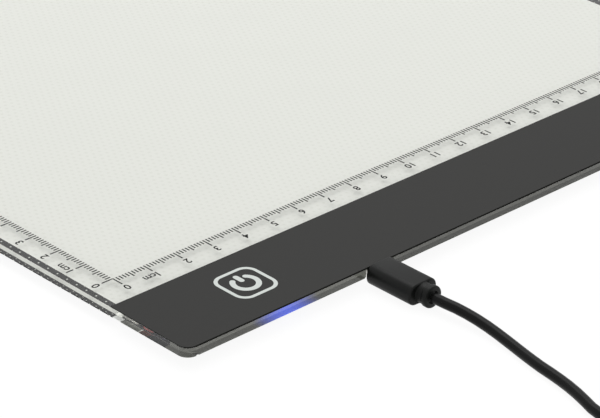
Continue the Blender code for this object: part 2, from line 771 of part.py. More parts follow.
def make_lead():
    """The free cord in its three stretches, the tie, and the USB-A plug at its end."""
    exit_y = plug_face_y - overmould_length - neck_length - collar_length - fit_gap
    coil, centre, first_way, last_way = coil_path()
    run_end = coil[0] - fit_gap * first_way
    route = [(socket_x + aside * MM, exit_y - forward * MM, level * MM)
             for aside, forward, level in seen_route]
    route += [tuple(run_end - 2 * cord_diameter * first_way), tuple(run_end)]
    run = smooth_route(route, diameters_per_point * cord_diameter)
    tube("cord_run", run, cord_diameter, black_pvc)
    tube("cord_coil", coil, cord_diameter, black_pvc, resolution=1)

    plug_level = usb_a_grip_height / 2
    tail_start = coil[-1] + fit_gap * last_way
    drop = np.array((0.0, 0.0, plug_level - tail_start[2]))
    tail_route = [tuple(tail_start + reach * tail_length * last_way + fall * drop)
                  for reach, fall in tail_route_shares]
    tail = smooth_route(tail_route, diameters_per_point * cord_diameter)
    tube("cord_tail", tail, cord_diameter, black_pvc)

    make_tie(centre)
    make_usb_a_plug(tail[-1] + fit_gap * last_way, last_way)
    lengths = [route_length(points) for points in (run, coil, tail)]
    print("cord lengths, run, coil, tail and all:", [round(length, 4) for length in lengths],
          round(sum(lengths) + 2 * fit_gap, 4))
    print("coil, least gap to itself in mm:", round(least_self_gap(coil, cord_diameter) / MM, 3))


def make_tie(centre):
    """A flat strap round the wound bundle at one place."""
    pitch = cord_diameter + turn_gap
    bundle_out = coil_outer_radius + cord_diameter / 2
    bundle_in = coil_outer_radius - turns_per_layer * pitch - cord_diameter / 2
    bundle_low = coil_low_level - cord_diameter / 2
    bundle_high = coil_low_level + (coil_layers - 1) * pitch + cord_diameter / 2
    middle = ((bundle_out + bundle_in) / 2, (bundle_low + bundle_high) / 2)
    width = bundle_out - bundle_in + 2 * tie_gap
    height = bundle_high - bundle_low + 2 * tie_gap
    inner = rounded_rectangle(width, height, tie_corner)
    outer = rounded_rectangle(width + 2 * tie_thickness, height + 2 * tie_thickness,
                              tie_corner + tie_thickness)
    out_way = heading_vector(tie_angle)
    side_way = heading_vector(tie_angle + math.pi / 2)
    base = np.array((centre[0], centre[1], 0.0))
    rings = []
    for outline, side in ((outer, -1), (outer, 1), (inner, 1), (inner, -1)):
        rings.append([tuple(base + (middle[0] + u) * out_way + side * tie_width / 2 * side_way
                            + np.array((0.0, 0.0, middle[1] + v))) for u, v in outline])
    loft("coil_tie", rings, black_pvc, closed=True)


def make_usb_a_plug(relief_end, way):
    """USB-A plug on the table, built along +Y at the origin and turned by its parent empty."""
    holder = bpy.data.objects.new("usb_a_holder", None)
    bpy.context.scene.collection.objects.link(holder)
    holder.location = Vector(relief_end)
    holder.rotation_euler = (0.0, 0.0, math.atan2(way[1], way[0]) - math.pi / 2)
    grip_start = usb_a_relief_length
    grip_end = grip_start + usb_a_grip_length
    fillet = overmould_fillet

    def grip(inset):
        return rounded_rectangle(usb_a_grip_width - 2 * inset, usb_a_grip_height - 2 * inset,
                                 usb_a_grip_corner - inset)

    stations = [(0, circle(usb_a_relief_diameter)), (grip_start, circle(usb_a_relief_diameter + fillet)),
                (grip_start, grip(fillet)), (grip_start + fillet, grip(0)), (grip_end - fillet, grip(0)),
                (grip_end, grip(fillet))]
    rings = [[(u, y, v) for u, v in outline] for y, outline in stations]
    grip_piece = loft("usb_a_overmould", rings, black_pvc)

    def shell_ring(inset, y):
        outline = rounded_rectangle(usb_a_width - 2 * inset, usb_a_height - 2 * inset,
                                    usb_a_corner - inset / 2, small_corner_steps)
        return [(u, y, v) for u, v in outline]

    tip = grip_end + usb_a_reach
    root = grip_end - usb_a_root
    shell = loft("usb_a_shell", [shell_ring(0, root), shell_ring(0, tip), shell_ring(usb_a_wall, tip),
                                 shell_ring(usb_a_wall, root + usb_a_wall)], bright_steel)
    inner_width = usb_a_width - 2 * (usb_a_wall + insert_side_gap)
    insert_middle = (usb_a_insert_height - usb_a_height) / 2 + usb_a_wall + insert_side_gap
    insert_section = rounded_rectangle(inner_width, usb_a_insert_height, usb_a_corner,
                                       small_corner_steps)
    insert = loft("usb_a_insert", [[(u, y, insert_middle + v) for u, v in insert_section]
                                   for y in (root + usb_a_wall + insert_side_gap, tip - usb_a_wall)],
                  white_insert)
    pocket = loft("usb_a_pocket_tool", [shell_ring(-pocket_gap, root - pocket_gap),
                                        shell_ring(-pocket_gap, grip_end + fillet)], None)
    join_by_boolean(grip_piece, pocket, "DIFFERENCE")
    hole_y = grip_end + usb_a_window_share * usb_a_reach
    for side, name in ((-1, "left"), (1, "right")):
        hole_x = side * usb_a_window_spacing / 2
        hole = box("usb_a_window_tool_" + name,
                   (hole_x - usb_a_window / 2, hole_y - usb_a_window / 2, 0),
                   (hole_x + usb_a_window / 2, hole_y + usb_a_window / 2, usb_a_height), None)
        join_by_boolean(shell, hole, "DIFFERENCE")
        hole.parent = holder
    for piece in (grip_piece, shell, insert, pocket):
        piece.parent = holder


make_light_guide_plate()
make_control_film()
make_backing()
make_rear_cover()
make_feet()
make_led_board()
make_driver_board()
make_touch_pad()
make_small_parts()
make_wires()
make_socket()
make_micro_plug()
make_lead()
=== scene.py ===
# %% [markdown]
# LED tracing pad
#
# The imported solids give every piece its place. This script dresses them: a clear acrylic plate that
# really bends light, the tape and the white sheet bonded under it, printed rulers, a dark film with a
# power symbol, and a USB lead on the table.

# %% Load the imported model
import math

import bmesh
import bpy
import numpy as np
from mathutils import Matrix, Vector


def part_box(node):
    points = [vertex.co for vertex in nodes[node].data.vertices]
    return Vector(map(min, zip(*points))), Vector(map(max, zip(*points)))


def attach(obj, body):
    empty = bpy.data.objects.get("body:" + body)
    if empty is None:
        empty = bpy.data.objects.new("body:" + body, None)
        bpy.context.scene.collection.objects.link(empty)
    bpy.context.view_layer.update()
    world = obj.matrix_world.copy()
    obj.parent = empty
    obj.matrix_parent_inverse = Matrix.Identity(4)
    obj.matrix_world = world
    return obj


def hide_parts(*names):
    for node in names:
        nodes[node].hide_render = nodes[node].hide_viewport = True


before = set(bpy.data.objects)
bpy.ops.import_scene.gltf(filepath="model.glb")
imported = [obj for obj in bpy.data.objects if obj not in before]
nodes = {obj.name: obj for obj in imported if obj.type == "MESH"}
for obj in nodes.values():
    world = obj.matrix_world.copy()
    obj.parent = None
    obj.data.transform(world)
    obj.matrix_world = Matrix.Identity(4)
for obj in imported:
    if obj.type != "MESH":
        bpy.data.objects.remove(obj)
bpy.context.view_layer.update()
MM = 0.001

# %% [markdown]
# Places come from the solids
#
# The plate's box carries everything that is printed on it. The rulers start at a corner inside the
# clear border, so their zero is measured from the plate's front left corner.

# %% Measure the plate, the band and the socket
plate_low, plate_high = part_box("light_guide_plate")
film_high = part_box("control_film")[1]
sheet_low, sheet_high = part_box("reflector_sheet")
tape_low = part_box("border_tape_left")[0]
body_low, body_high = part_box("plug_overmould")
cord_exit = Vector(((body_low.x + body_high.x) / 2, body_low.y - 0.3 * MM, (body_low.z + body_high.z) / 2))
socket_x = cord_exit.x
plug_z = cord_exit.z
ruler_margin = 9.6 * MM
ruler_x = plate_low.x + ruler_margin
ruler_y = plate_low.y + 38.25 * MM
symbol_x = plate_low.x + 32.6 * MM
symbol_y = plate_low.y + 14.55 * MM
band_y = film_high.y
print("cord leaves at", [round(value / MM, 2) for value in cord_exit], "mm")

# %% [markdown]
# The camera
#
# The ruler ticks give the viewing angle: a long lens about 0.73 m away, 28 degrees above the table,
# looking across the front left corner. A camera looks along its own -Z, so the aim is turned into a
# rotation, and a small roll comes last.

# %% Camera
camera_place = Vector((-0.5028, -0.59588, 0.34778))
camera_aim = Vector((-0.04736, -0.13334, 0.00517))
camera_roll = math.radians(1.461)
camera_lens = 169.016


def linked(name, data):
    """A new object that shows some data, put into the scene."""
    item = bpy.data.objects.new(name, data)
    bpy.context.scene.collection.objects.link(item)
    return item


camera_data = bpy.data.cameras.new("camera")
camera_data.sensor_width = 36.0
camera_data.lens = camera_lens
camera = linked("camera", camera_data)
look = (camera_aim - camera_place).to_track_quat("-Z", "Y").to_matrix().to_4x4()
camera.matrix_world = Matrix.Translation(camera_place) @ look @ Matrix.Rotation(camera_roll, 4, "Z")
bpy.context.scene.camera = camera
print("camera is", round((camera_aim - camera_place).length, 3), "m from its aim")

# %% [markdown]
# One grain for every moulded or printed surface
#
# Plastic, rubber, ink and film all show the same kind of thing up close: small uneven spots in colour,
# shine and height. One node group makes them from two noises, and each material sets its own size
# and strength. The group gives out values only, and the shader stays in the material.

# %% Fine grain group
def new_group(name, inputs, outputs):
    """A node group and its input node, from {name: (kind, default)} and {name: kind}."""
    group = bpy.data.node_groups.new(name, "ShaderNodeTree")
    for title, (kind, default) in inputs.items():
        socket = group.interface.new_socket(name=title, in_out="INPUT", socket_type="NodeSocket" + kind)
        if default is not None:
            socket.default_value = default
    for title, kind in outputs.items():
        group.interface.new_socket(name=title, in_out="OUTPUT", socket_type="NodeSocket" + kind)
    return group, group.nodes.new("NodeGroupInput")


def add_node(tree, kind, inputs=None, **settings):
    """A node with settings and inputs; an input that is a socket is linked, any other is a value."""
    node = tree.nodes.new(kind)
    for key, value in settings.items():
        setattr(node, key, value)
    for key, value in (inputs or {}).items():
        if isinstance(value, bpy.types.NodeSocket):
            tree.links.new(value, node.inputs[key])
        else:
            node.inputs[key].default_value = value
    return node


def add_math(tree, operation, first, second=0.0, third=0.0):
    """The result socket of one math step."""
    node = add_node(tree, "ShaderNodeMath", {0: first, 1: second, 2: third}, operation=operation)
    return node.outputs[0]


def build_fine_grain():
    """Colour, roughness and height that wander with a noise in the vector's own space.

    Colour is the base times 1 - spread + 2 spread n, where n is the coarse noise. Roughness is the
    base plus its spread times n - 0.5. Height is the fine noise.
    """
    group, start = new_group("fine_grain", {
        "Vector": ("Vector", None), "Color": ("Color", (0.5, 0.5, 0.5, 1.0)), "Color Spread": ("Float", 0.1),
        "Roughness": ("Float", 0.5), "Roughness Spread": ("Float", 0.1), "Coarse Scale": ("Float", 400.0),
        "Fine Scale": ("Float", 3000.0)}, {"Color": "Color", "Roughness": "Float", "Height": "Float"})
    coarse = add_node(group, "ShaderNodeTexNoise", {"Vector": start.outputs["Vector"],
                                                    "Scale": start.outputs["Coarse Scale"], "Detail": 3.0})
    fine = add_node(group, "ShaderNodeTexNoise", {"Vector": start.outputs["Vector"],
                                                  "Scale": start.outputs["Fine Scale"], "Detail": 2.0})
    wander = add_math(group, "SUBTRACT", coarse.outputs["Fac"], 0.5)
    doubled = add_math(group, "MULTIPLY", start.outputs["Color Spread"], 2.0)
    factor = add_math(group, "MULTIPLY_ADD", wander, doubled, 1.0)
    tinted = add_node(group, "ShaderNodeVectorMath", {0: start.outputs["Color"], "Scale": factor},
                      operation="SCALE")
    rough = add_math(group, "MULTIPLY_ADD", wander, start.outputs["Roughness Spread"],
                     start.outputs["Roughness"])
    add_node(group, "NodeGroupOutput", {"Color": tinted.outputs[0], "Roughness": rough,
                                        "Height": fine.outputs["Fac"]})
    return group


fine_grain = build_fine_grain()
print("group", fine_grain.name, "outputs", [item.name for item in fine_grain.interface.items_tree][:3])

# %% [markdown]
# A material is a shader fed by the grain
#
# Each finish below is one Principled shader. Its colour, roughness and bump come from the grain group
# placed with that finish's own values, on Object coordinates, so the pattern keeps its real size.

# %% Material helper
grain_height = 0.02 * MM


def new_material(name):
    """A material with its node tree and its Principled shader."""
    material = bpy.data.materials.new(name)
    material.use_nodes = True
    return material, material.node_tree, shader_of(material)


def shader_of(material):
    """A material's Principled shader."""
    return material.node_tree.nodes["Principled BSDF"]


def grained(name, color, roughness, color_spread=0.08, roughness_spread=0.1, coarse=400.0, fine=3000.0,
            bump=0.1, metallic=0.0, specular=0.5):
    """A finish whose colour, roughness and bump follow the fine grain."""
    material, tree, shader = new_material(name)
    place = add_node(tree, "ShaderNodeTexCoord")
    grain = add_node(tree, "ShaderNodeGroup", {
        "Vector": place.outputs["Object"], "Color": (*color, 1.0), "Color Spread": color_spread,
        "Roughness": roughness, "Roughness Spread": roughness_spread, "Coarse Scale": coarse,
        "Fine Scale": fine}, node_tree=fine_grain)
    relief = add_node(tree, "ShaderNodeBump", {"Strength": bump, "Distance": grain_height,
                                               "Height": grain.outputs["Height"]})
    tree.links.new(grain.outputs["Color"], shader.inputs["Base Color"])
    tree.links.new(grain.outputs["Roughness"], shader.inputs["Roughness"])
    tree.links.new(relief.outputs["Normal"], shader.inputs["Normal"])
    shader.inputs["Metallic"].default_value = metallic
    shader.inputs["Specular IOR Level"].default_value = specular
    return material


def object_place(material):
    """The socket of a material's Object coordinates."""
    return material.node_tree.nodes["Texture Coordinate"].outputs["Object"]


def object_axis(material, axis):
    """The socket of one axis, X, Y or Z, of a material's Object coordinates."""
    split = add_node(material.node_tree, "ShaderNodeSeparateXYZ", {0: object_place(material)})
    return split.outputs[axis]


def blend_color(material, factor, color):
    """Mix another colour, a value or a socket, into a material's Base Color by a factor socket."""
    base = shader_of(material).inputs["Base Color"]
    mix = add_node(material.node_tree, "ShaderNodeMix",
                   {"Factor": factor, "A": base.links[0].from_socket, "B": color}, data_type="RGBA")
    material.node_tree.links.new(mix.outputs["Result"], base)


# %% [markdown]
# The plain finishes
#
# The lead is soft black plastic, the feet are rubber, the plug shells are plated steel, and the rest is
# moulded plastic, ceramic and ink. After its name and colour, each finish has its roughness, how far the
# grain moves the colour and the roughness, the grain's coarse and fine scale, and the bump's strength.

# %% Plain finishes
black_pvc = grained("black_pvc", (0.0045, 0.005, 0.0045), 0.42, 0.15, 0.12, 900, 9000, 0.25, specular=0.15)
cord_pvc = grained("cord_pvc", (0.003, 0.003, 0.003), 0.32, 0.15, 0.12, 900, 9000, 0.2, specular=0.12)
foot_rubber = grained("foot_rubber", (0.022, 0.022, 0.022), 0.75, 0.2, 0.1, 700, 5000, 0.4)
cover_plastic = grained("cover_plastic", (0.62, 0.62, 0.60), 0.5, 0.03, 0.08, 300, 2500, 0.3)
chip_black = grained("chip_black", (0.02, 0.02, 0.022), 0.5, 0.2, 0.15, 2500, 12000, 0.3)
ferrite = grained("ferrite", (0.055, 0.055, 0.058), 0.6, 0.2, 0.15, 2500, 12000, 0.4)
ceramic_tan = grained("ceramic_tan", (0.38, 0.28, 0.17), 0.4, 0.12, 0.1, 2500, 9000, 0.2)
copper_foil = grained("copper_foil", (0.72, 0.40, 0.24), 0.32, 0.1, 0.2, 600, 2500, 0.3, metallic=1.0)
bright_steel = grained("bright_steel", (0.72, 0.71, 0.68), 0.26, 0.06, 0.15, 900, 6000, 0.1, metallic=1.0)
contact_gold = grained("contact_gold", (0.85, 0.60, 0.25), 0.28, 0.08, 0.1, 2500, 9000, 0.1, metallic=1.0)
black_insert = grained("black_insert", (0.018, 0.018, 0.018), 0.5, 0.15, 0.1, 1500, 9000, 0.2)
white_insert = grained("white_insert", (0.80, 0.80, 0.77), 0.45, 0.03, 0.1, 1500, 9000, 0.2)
red_sleeve = grained("red_sleeve", (0.24, 0.06, 0.055), 0.4, 0.1, 0.1, 1200, 6000, 0.2)
black_sleeve = grained("black_sleeve", (0.03, 0.03, 0.05), 0.4, 0.15, 0.1, 1200, 6000, 0.2)
symbol_ink = grained("symbol_ink", (0.69, 0.73, 0.70), 0.6, 0.03, 0.08, 900, 6000, 0.1, specular=0.2)
ruler_ink = grained("ruler_ink", (0.022, 0.022, 0.022), 0.7, 0.2, 0.1, 1500, 9000, 0.1, specular=0.1)
print("finishes so far:", len(bpy.data.materials))

# %% [markdown]
# Surfaces from rings
#
# Most pieces here are a ring of points carried along a path: a profile round the plate's outline, a
# round section along the plug. The points are one array of rings, and one helper joins ring to ring.

# %% Ring surface helper
def finish_mesh(name, points, faces, materials, sharp=30.0):
    """Put points and faces into an object at the origin, faces out, smooth up to the sharp angle."""
    mesh = bpy.data.meshes.new(name)
    mesh.from_pydata(np.asarray(points, dtype=float).reshape(-1, 3).tolist(), [], faces)
    work = bmesh.new()
    work.from_mesh(mesh)
    bmesh.ops.recalc_face_normals(work, faces=work.faces)
    work.to_mesh(mesh)
    work.free()
    mesh.shade_smooth()
    mesh.set_sharp_from_angle(angle=math.radians(sharp))
    for material in materials if isinstance(materials, (list, tuple)) else [materials]:
        mesh.materials.append(material)
    return linked(name, mesh)


def ring_faces(ring_count, point_count, caps=True, closed=False):
    """Quads (i, j), (i, j+1), (i+1, j+1), (i+1, j), with j going round; flat caps or a closed loop."""
    index = np.arange(ring_count * point_count).reshape(ring_count, point_count)
    if closed:
        index = np.vstack([index, index[:1]])
    after = np.roll(index, -1, axis=1)
    faces = np.stack([index[:-1], after[:-1], after[1:], index[1:]], axis=-1).reshape(-1, 4).tolist()
    if caps and not closed:
        faces += [index[0, ::-1].tolist(), index[-1].tolist()]
    return faces


def skin(name, rings, materials, caps=True, closed=False, sharp=30.0):
    """One object over an array of rings, shaped (rings, points, 3)."""
    rings = np.asarray(rings, dtype=float)
    faces = ring_faces(rings.shape[0], rings.shape[1], caps, closed)
    return finish_mesh(name, rings, faces, materials, sharp)


def place_piece(piece, body, slot, *replaced):
    """Let a piece ride on a body and stand for CAD nodes. The slot is not used."""
    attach(piece, body)
    if replaced:
        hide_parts(*replaced)
    return piece


def dressed(name, rings, materials, body, slot, *replaced, **options):
    """A skin over rings that rides on a body and stands for CAD nodes. The slot is not used."""
    return place_piece(skin(name, rings, materials, **options), body, slot, *replaced)


# %% [markdown]
# The cord
#
# The real lead is a limp round cord. The photo shows its first stretch, from the plug down to the
# table and away. The rest is wound into a coil with a tie, and ends in a USB-A plug. One curve
# follows all of it. The listed points of the first stretch are joined by a Catmull-Rom curve,
# and the coil is a spiral that goes in and out in layers.

# %% Cord route
cord_diameter = 2.9 * MM
turn_pitch = cord_diameter + 0.5 * MM
coil_radius = 21.5 * MM
coil_level = 2.25 * MM
turns_per_layer = 3.25
coil_layers = 4
points_per_turn = 24
climb_turns = 0.5
coil_heading = math.radians(252.5)
seam_gap = 0.3 * MM
route_step = 1.2 * cord_diameter
tail_length = 46 * MM
usb_a_level = 3.8 * MM
seen_route = ((0, 0, 3.15), (0.1, 3.5, 3.15), (0.55, 7.2, 3.02), (0.8, 12.6, 2.67), (0.6, 18.5, 2.17),
              (-0.2, 24.9, 1.67), (-1.5, 31.35, 1.5), (-2.8, 37.75, 1.5), (-3.7, 43.85, 1.5),
              (-5.1, 50.35, 1.5), (-7.4, 57.45, 1.5), (-8.5, 61.05, 1.5))
tail_shares = ((0.0, 0.0), (0.16, 0.03), (0.4, 0.42), (0.62, 0.83), (0.86, 1.0), (1.0, 1.0))
coil_start = np.array((socket_x - 12.6 * MM, plate_low.y - 101.4 * MM, coil_level))


def heading(angle):
    """Unit vector in the plan: (cos a, sin a, 0)."""
    return np.array((math.cos(angle), math.sin(angle), 0.0))


def lengths_along(points):
    """Length from the first point to each point of a line."""
    return np.concatenate([[0.0], np.cumsum(np.linalg.norm(np.diff(points, axis=0), axis=1))])


def spaced_evenly(points, count, endpoint=True):
    """Points on a line at even steps of its length."""
    along = lengths_along(points)
    even = np.linspace(0.0, along[-1], count, endpoint=endpoint)
    return np.column_stack([np.interp(even, along, values) for values in points.T])


def smooth_route(points, spacing, samples=40):
    """Even points on a Catmull-Rom curve through the route.

    Between b and c, with neighbours a and d and t from 0 to 1, the curve is half of
    2b + (c - a) t + (2a - 5b + 4c - d) t^2 + (3b - a - 3c + d) t^3.
    """
    route = np.array(points, dtype=float)
    route = np.vstack([2 * route[0] - route[1], route, 2 * route[-1] - route[-2]])
    a, b, c, d = (route[start:len(route) - 3 + start, None, :] for start in range(4))
    t = np.linspace(0.0, 1.0, samples, endpoint=False)[None, :, None]
    dense = 0.5 * (2 * b + (c - a) * t + (2 * a - 5 * b + 4 * c - d) * t ** 2
                   + (3 * b - a - 3 * c + d) * t ** 3)
    dense = np.vstack([dense.reshape(-1, 3), route[-2][None, :]])
    return spaced_evenly(dense, max(4, int(round(lengths_along(dense)[-1] / spacing)) + 1))


def coil_route():
    """Spiral at radius r = R - pitch * s, where s runs 0 to the turns of a layer and back.

    The level climbs one pitch in the half turn around each end of a layer.
    """
    first_angle = coil_heading - math.pi / 2
    centre = coil_start - coil_radius * heading(first_angle)
    total = turns_per_layer * coil_layers
    turns = np.linspace(0.0, total, int(round(total * points_per_turn)) + 1)
    phase = np.mod(turns / turns_per_layer, 2.0)
    radius = coil_radius - turn_pitch * np.minimum(phase, 2.0 - phase) * turns_per_layer
    angle = first_angle + 2 * math.pi * turns
    reversals = np.arange(1, coil_layers)[:, None] * turns_per_layer
    climb = np.clip((turns[None, :] - reversals) / climb_turns + 0.5, 0.0, 1.0)
    level = coil_level + turn_pitch * np.sum(climb * climb * (3 - 2 * climb), axis=0)
    path = np.column_stack([centre[0] + radius * np.cos(angle), centre[1] + radius * np.sin(angle), level])
    first_way, last_way = heading(coil_heading), heading(coil_heading + 2 * math.pi * total)
    path = np.vstack([path[0] - cord_diameter * first_way, path, path[-1] + cord_diameter * last_way])
    return path, centre, first_way, last_way


coil, coil_centre, first_way, last_way = coil_route()
run_end = coil[0] - seam_gap * first_way
run_points = [(cord_exit.x + aside * MM, cord_exit.y - forward * MM, level * MM)
              for aside, forward, level in seen_route]
run_points += [tuple(run_end - 2 * cord_diameter * first_way), tuple(run_end)]
run = smooth_route(run_points, route_step)
tail_start = coil[-1] + seam_gap * last_way
fall = np.array((0.0, 0.0, usb_a_level - tail_start[2]))
tail_points = [tail_start + reach * tail_length * last_way + drop * fall for reach, drop in tail_shares]
tail = smooth_route(tail_points, route_step)
cord_line = np.vstack([run, coil, tail])
print("cord is", round(float(lengths_along(cord_line)[-1]), 4), "m long, with", len(cord_line), "points")

# %% [markdown]
# A curve with a bevel is a cord that stays editable: the points are its centreline, and the bevel is
# its round section.

# %% Cord curve
def make_cord(name, points, diameter, material, around=5):
    """A round tube on one open spline."""
    curve = bpy.data.curves.new(name, "CURVE")
    curve.dimensions = "3D"
    curve.bevel_depth = diameter / 2
    curve.bevel_resolution = around
    curve.use_fill_caps = True
    spline = curve.splines.new("POLY")
    spline.points.add(len(points) - 1)
    flat = np.column_stack([points, np.ones(len(points))]).ravel()
    spline.points.foreach_set("co", flat)
    spline.use_smooth = True
    curve.materials.append(material)
    return linked(name, curve)


usb_cord = make_cord("usb_cord", cord_line, cord_diameter, cord_pvc)
place_piece(usb_cord, "lead", "black_pvc", "cord_run", "cord_coil", "cord_tail")
print("cord is", round(cord_diameter / MM, 1), "mm thick")

# %% [markdown]
# The USB-A plug
#
# The far end of the lead is never in the picture, so it is a plain plug of the common kind: a moulded
# grip with a soft relief, a folded steel shell with two windows, a white tongue and four contacts.
# It is worked out along +Y at the origin, then turned to the cord's last heading.

# %% Outlines and sections
def rounded_outline(width, height, radius, steps=12):
    """Points (u, v) round a rectangle, counter-clockwise, each corner an arc of the given steps.

    A corner's centre is at plus or minus (half size - radius), and its points add r (cos a, sin a).
    """
    quarter = np.repeat(np.arange(4), steps + 1)
    angle = math.pi / 2 * (quarter + np.tile(np.linspace(0.0, 1.0, steps + 1), 4))
    side_u = np.array((1, -1, -1, 1))[quarter]
    side_v = np.array((1, 1, -1, -1))[quarter]
    return np.column_stack([side_u * (width / 2 - radius) + radius * np.cos(angle),
                            side_v * (height / 2 - radius) + radius * np.sin(angle)])


def disc(diameter):
    """A round outline with as many points as the others."""
    return rounded_outline(diameter, diameter, diameter / 2)


def inset_outline(size, inset):
    """The rounded outline of a size (width, height, corner), drawn in by an inset."""
    width, height, radius = size
    return rounded_outline(width - 2 * inset, height - 2 * inset, max(radius - inset, 0.05 * MM))


def fillet_stations(start, size, fillet, way, count=5):
    """Stations of a rounded end: inset f (1 - sin a) at a distance f (1 - cos a) along the axis."""
    angles = np.linspace(0.0, math.pi / 2, count)
    return [(start + way * fillet * (1 - math.cos(a)), inset_outline(size, fillet * (1 - math.sin(a))))
            for a in angles]


def sections_along_y(stations):
    """Rings (u, y, v) from pairs of a station y and an outline (u, v) about the axis."""
    return np.stack([np.column_stack([outline[:, 0], np.full(len(outline), y), outline[:, 1]])
                     for y, outline in stations])


def turned_to(rings, place, way):
    """Rings turned about Z so that +Y points along a heading, then moved to a place."""
    turn = math.atan2(way[1], way[0]) - math.pi / 2
    cos_turn, sin_turn = math.cos(turn), math.sin(turn)
    x, y, z = np.moveaxis(np.asarray(rings, dtype=float), -1, 0)
    return np.stack([place[0] + cos_turn * x - sin_turn * y, place[1] + sin_turn * x + cos_turn * y,
                     place[2] + z], axis=-1)


# %% USB-A grip
relief_end = tail[-1] + seam_gap * last_way
relief_length = 8 * MM
grip_length = 21 * MM
grip_size = (15.8 * MM, 7.6 * MM, 2.0 * MM)
shell_size = (12 * MM, 4.5 * MM, 0.5 * MM)
grip_end = relief_length + grip_length
grip_back_fillet = 1.5 * MM
grip_front_fillet = 0.8 * MM
shell_root = grip_end - 3 * MM
shell_tip = grip_end + 12 * MM
pocket_gap = 0.1 * MM
pocket = inset_outline(shell_size, -pocket_gap)
grip_stations = [(0.0, disc(3.9 * MM)), (0.35 * MM, disc(4.6 * MM)),
                 (relief_length - 1.2 * MM, rounded_outline(5.2 * MM, 5.0 * MM, 2.5 * MM)),
                 (relief_length, rounded_outline(6.4 * MM, 5.6 * MM, 2.5 * MM))]
grip_stations += fillet_stations(relief_length, grip_size, grip_back_fillet, 1)
grip_stations += fillet_stations(grip_end, grip_size, grip_front_fillet, -1)[::-1]
grip_stations += [(grip_end, pocket), (shell_root, pocket)]
grip = dressed("usb_a_grip", turned_to(sections_along_y(grip_stations), relief_end, last_way), black_pvc,
               "lead", "black_pvc", "usb_a_overmould")
print("grip is", round(grip_end / MM, 1), "mm long with its relief")

# %% Flat solids
def box_outline(low, high):
    """The four plan corners of a box."""
    return np.array(((low[0], low[1]), (high[0], low[1]), (high[0], high[1]), (low[0], high[1])))


def level_rings(pairs):
    """A ring for each pair of an outline in the plan and its height."""
    return np.stack([np.column_stack([outline, np.full(len(outline), level)]) for outline, level in pairs])


def sheet_rings(outline, low, high):
    """Two rings of a flat solid of one outline in the plan."""
    return level_rings([(outline, low), (outline, high)])


def slab_rings(low, high):
    """Two rings of a box from its lowest to its highest corner."""
    return sheet_rings(box_outline(low, high), low[2], high[2])


def many_solids(name, ring_sets, material, sharp=30.0):
    """One object from many small solids, each an array of rings of the same shape."""
    stack = np.stack(ring_sets)
    count, rings, points = stack.shape[:3]
    single = ring_faces(rings, points)
    faces = [[corner + piece * rings * points for corner in face]
             for piece in range(count) for face in single]
    return finish_mesh(name, stack.reshape(-1, 3), faces, material, sharp)


# %% USB-A contacts
contact_x = np.array((-3.5, -1.0, 1.0, 3.5)) * MM
contact_half = 0.5 * MM
steel_wall = 0.3 * MM
insert_height = 1.9 * MM
insert_gap = 0.05 * MM
insert_top = -shell_size[1] / 2 + steel_wall + insert_gap + insert_height
usb_a_contacts = many_solids("usb_a_contacts", [
    turned_to(slab_rings((x - contact_half, shell_root + 5 * MM, insert_top - 0.05 * MM),
                         (x + contact_half, shell_tip - 1.2 * MM, insert_top + 0.06 * MM)),
              relief_end, last_way)
    for x in contact_x], contact_gold)
place_piece(usb_a_contacts, "lead", "bright_steel")
print("USB-A plug reaches", round(float(shell_tip) / MM, 1), "mm past the cord")

# %% [markdown]
# The tie
#
# A flat strap holds the turns together. It could be a twisted wire, but a strap is the plainest tie. It
# follows a rounded rectangle, drawn in the plane that cuts the bundle, and its outer edges are softened.

# %% Coil tie
tie_gap = 0.3 * MM
tie_thickness = 0.5 * MM
tie_width = 4 * MM
tie_angle = math.radians(-20)
bundle_out = coil_radius + cord_diameter / 2 + tie_gap
bundle_in = coil_radius - turns_per_layer * turn_pitch - cord_diameter / 2 - tie_gap
bundle_low = coil_level - cord_diameter / 2 - tie_gap
bundle_high = coil_level + (coil_layers - 1) * turn_pitch + cord_diameter / 2 + tie_gap
inner = rounded_outline(bundle_out - bundle_in, bundle_high - bundle_low, 1.5 * MM)
outer = rounded_outline(bundle_out - bundle_in + 2 * tie_thickness,
                        bundle_high - bundle_low + 2 * tie_thickness, 2 * MM)
soft = outer * (1 - 0.15 * MM / (bundle_out - bundle_in))
loop_sides = ((soft, -1), (outer, -0.9), (outer, 0.9), (soft, 1), (inner, 1), (inner, -1))
tie_rings = np.stack([
    np.array((coil_centre[0], coil_centre[1], (bundle_low + bundle_high) / 2))
    + ((bundle_out + bundle_in) / 2 + outline[:, :1]) * heading(tie_angle)
    + side * tie_width / 2 * heading(tie_angle + math.pi / 2)
    + outline[:, 1:] * np.array((0.0, 0.0, 1.0))
    for outline, side in loop_sides])
tie = dressed("coil_strap", tie_rings, black_pvc, "lead", "black_pvc", "coil_tie", closed=True)
print("bundle is", round((bundle_high - bundle_low) / MM, 1), "mm high under the tie")

# %% [markdown]
# The micro-USB plug
#
# This is the piece nearest the eye. One soft black moulding has a flat-topped body with round long
# edges, a round neck and a collar. Carrying one outline along Y gives all of it, and the rings turn
# into the steel shell's pocket at the front.

# %% Micro-USB overmould
seat_gap = 0.15 * MM
body_front = plate_low.y - seat_gap
body_size = (9.8 * MM, 5.8 * MM, 2.6 * MM)
body_length = body_front - body_high.y + 14.7 * MM
neck_length = 1.8 * MM
collar_length = 1.7 * MM
front_fillet = 0.4 * MM
back_fillet = 0.5 * MM
pocket_depth = 1.6 * MM
neck = disc(5.5 * MM)
micro_half = (3.425 * MM, 0.9 * MM)
micro_cut = (1.1 * MM, 0.8 * MM)


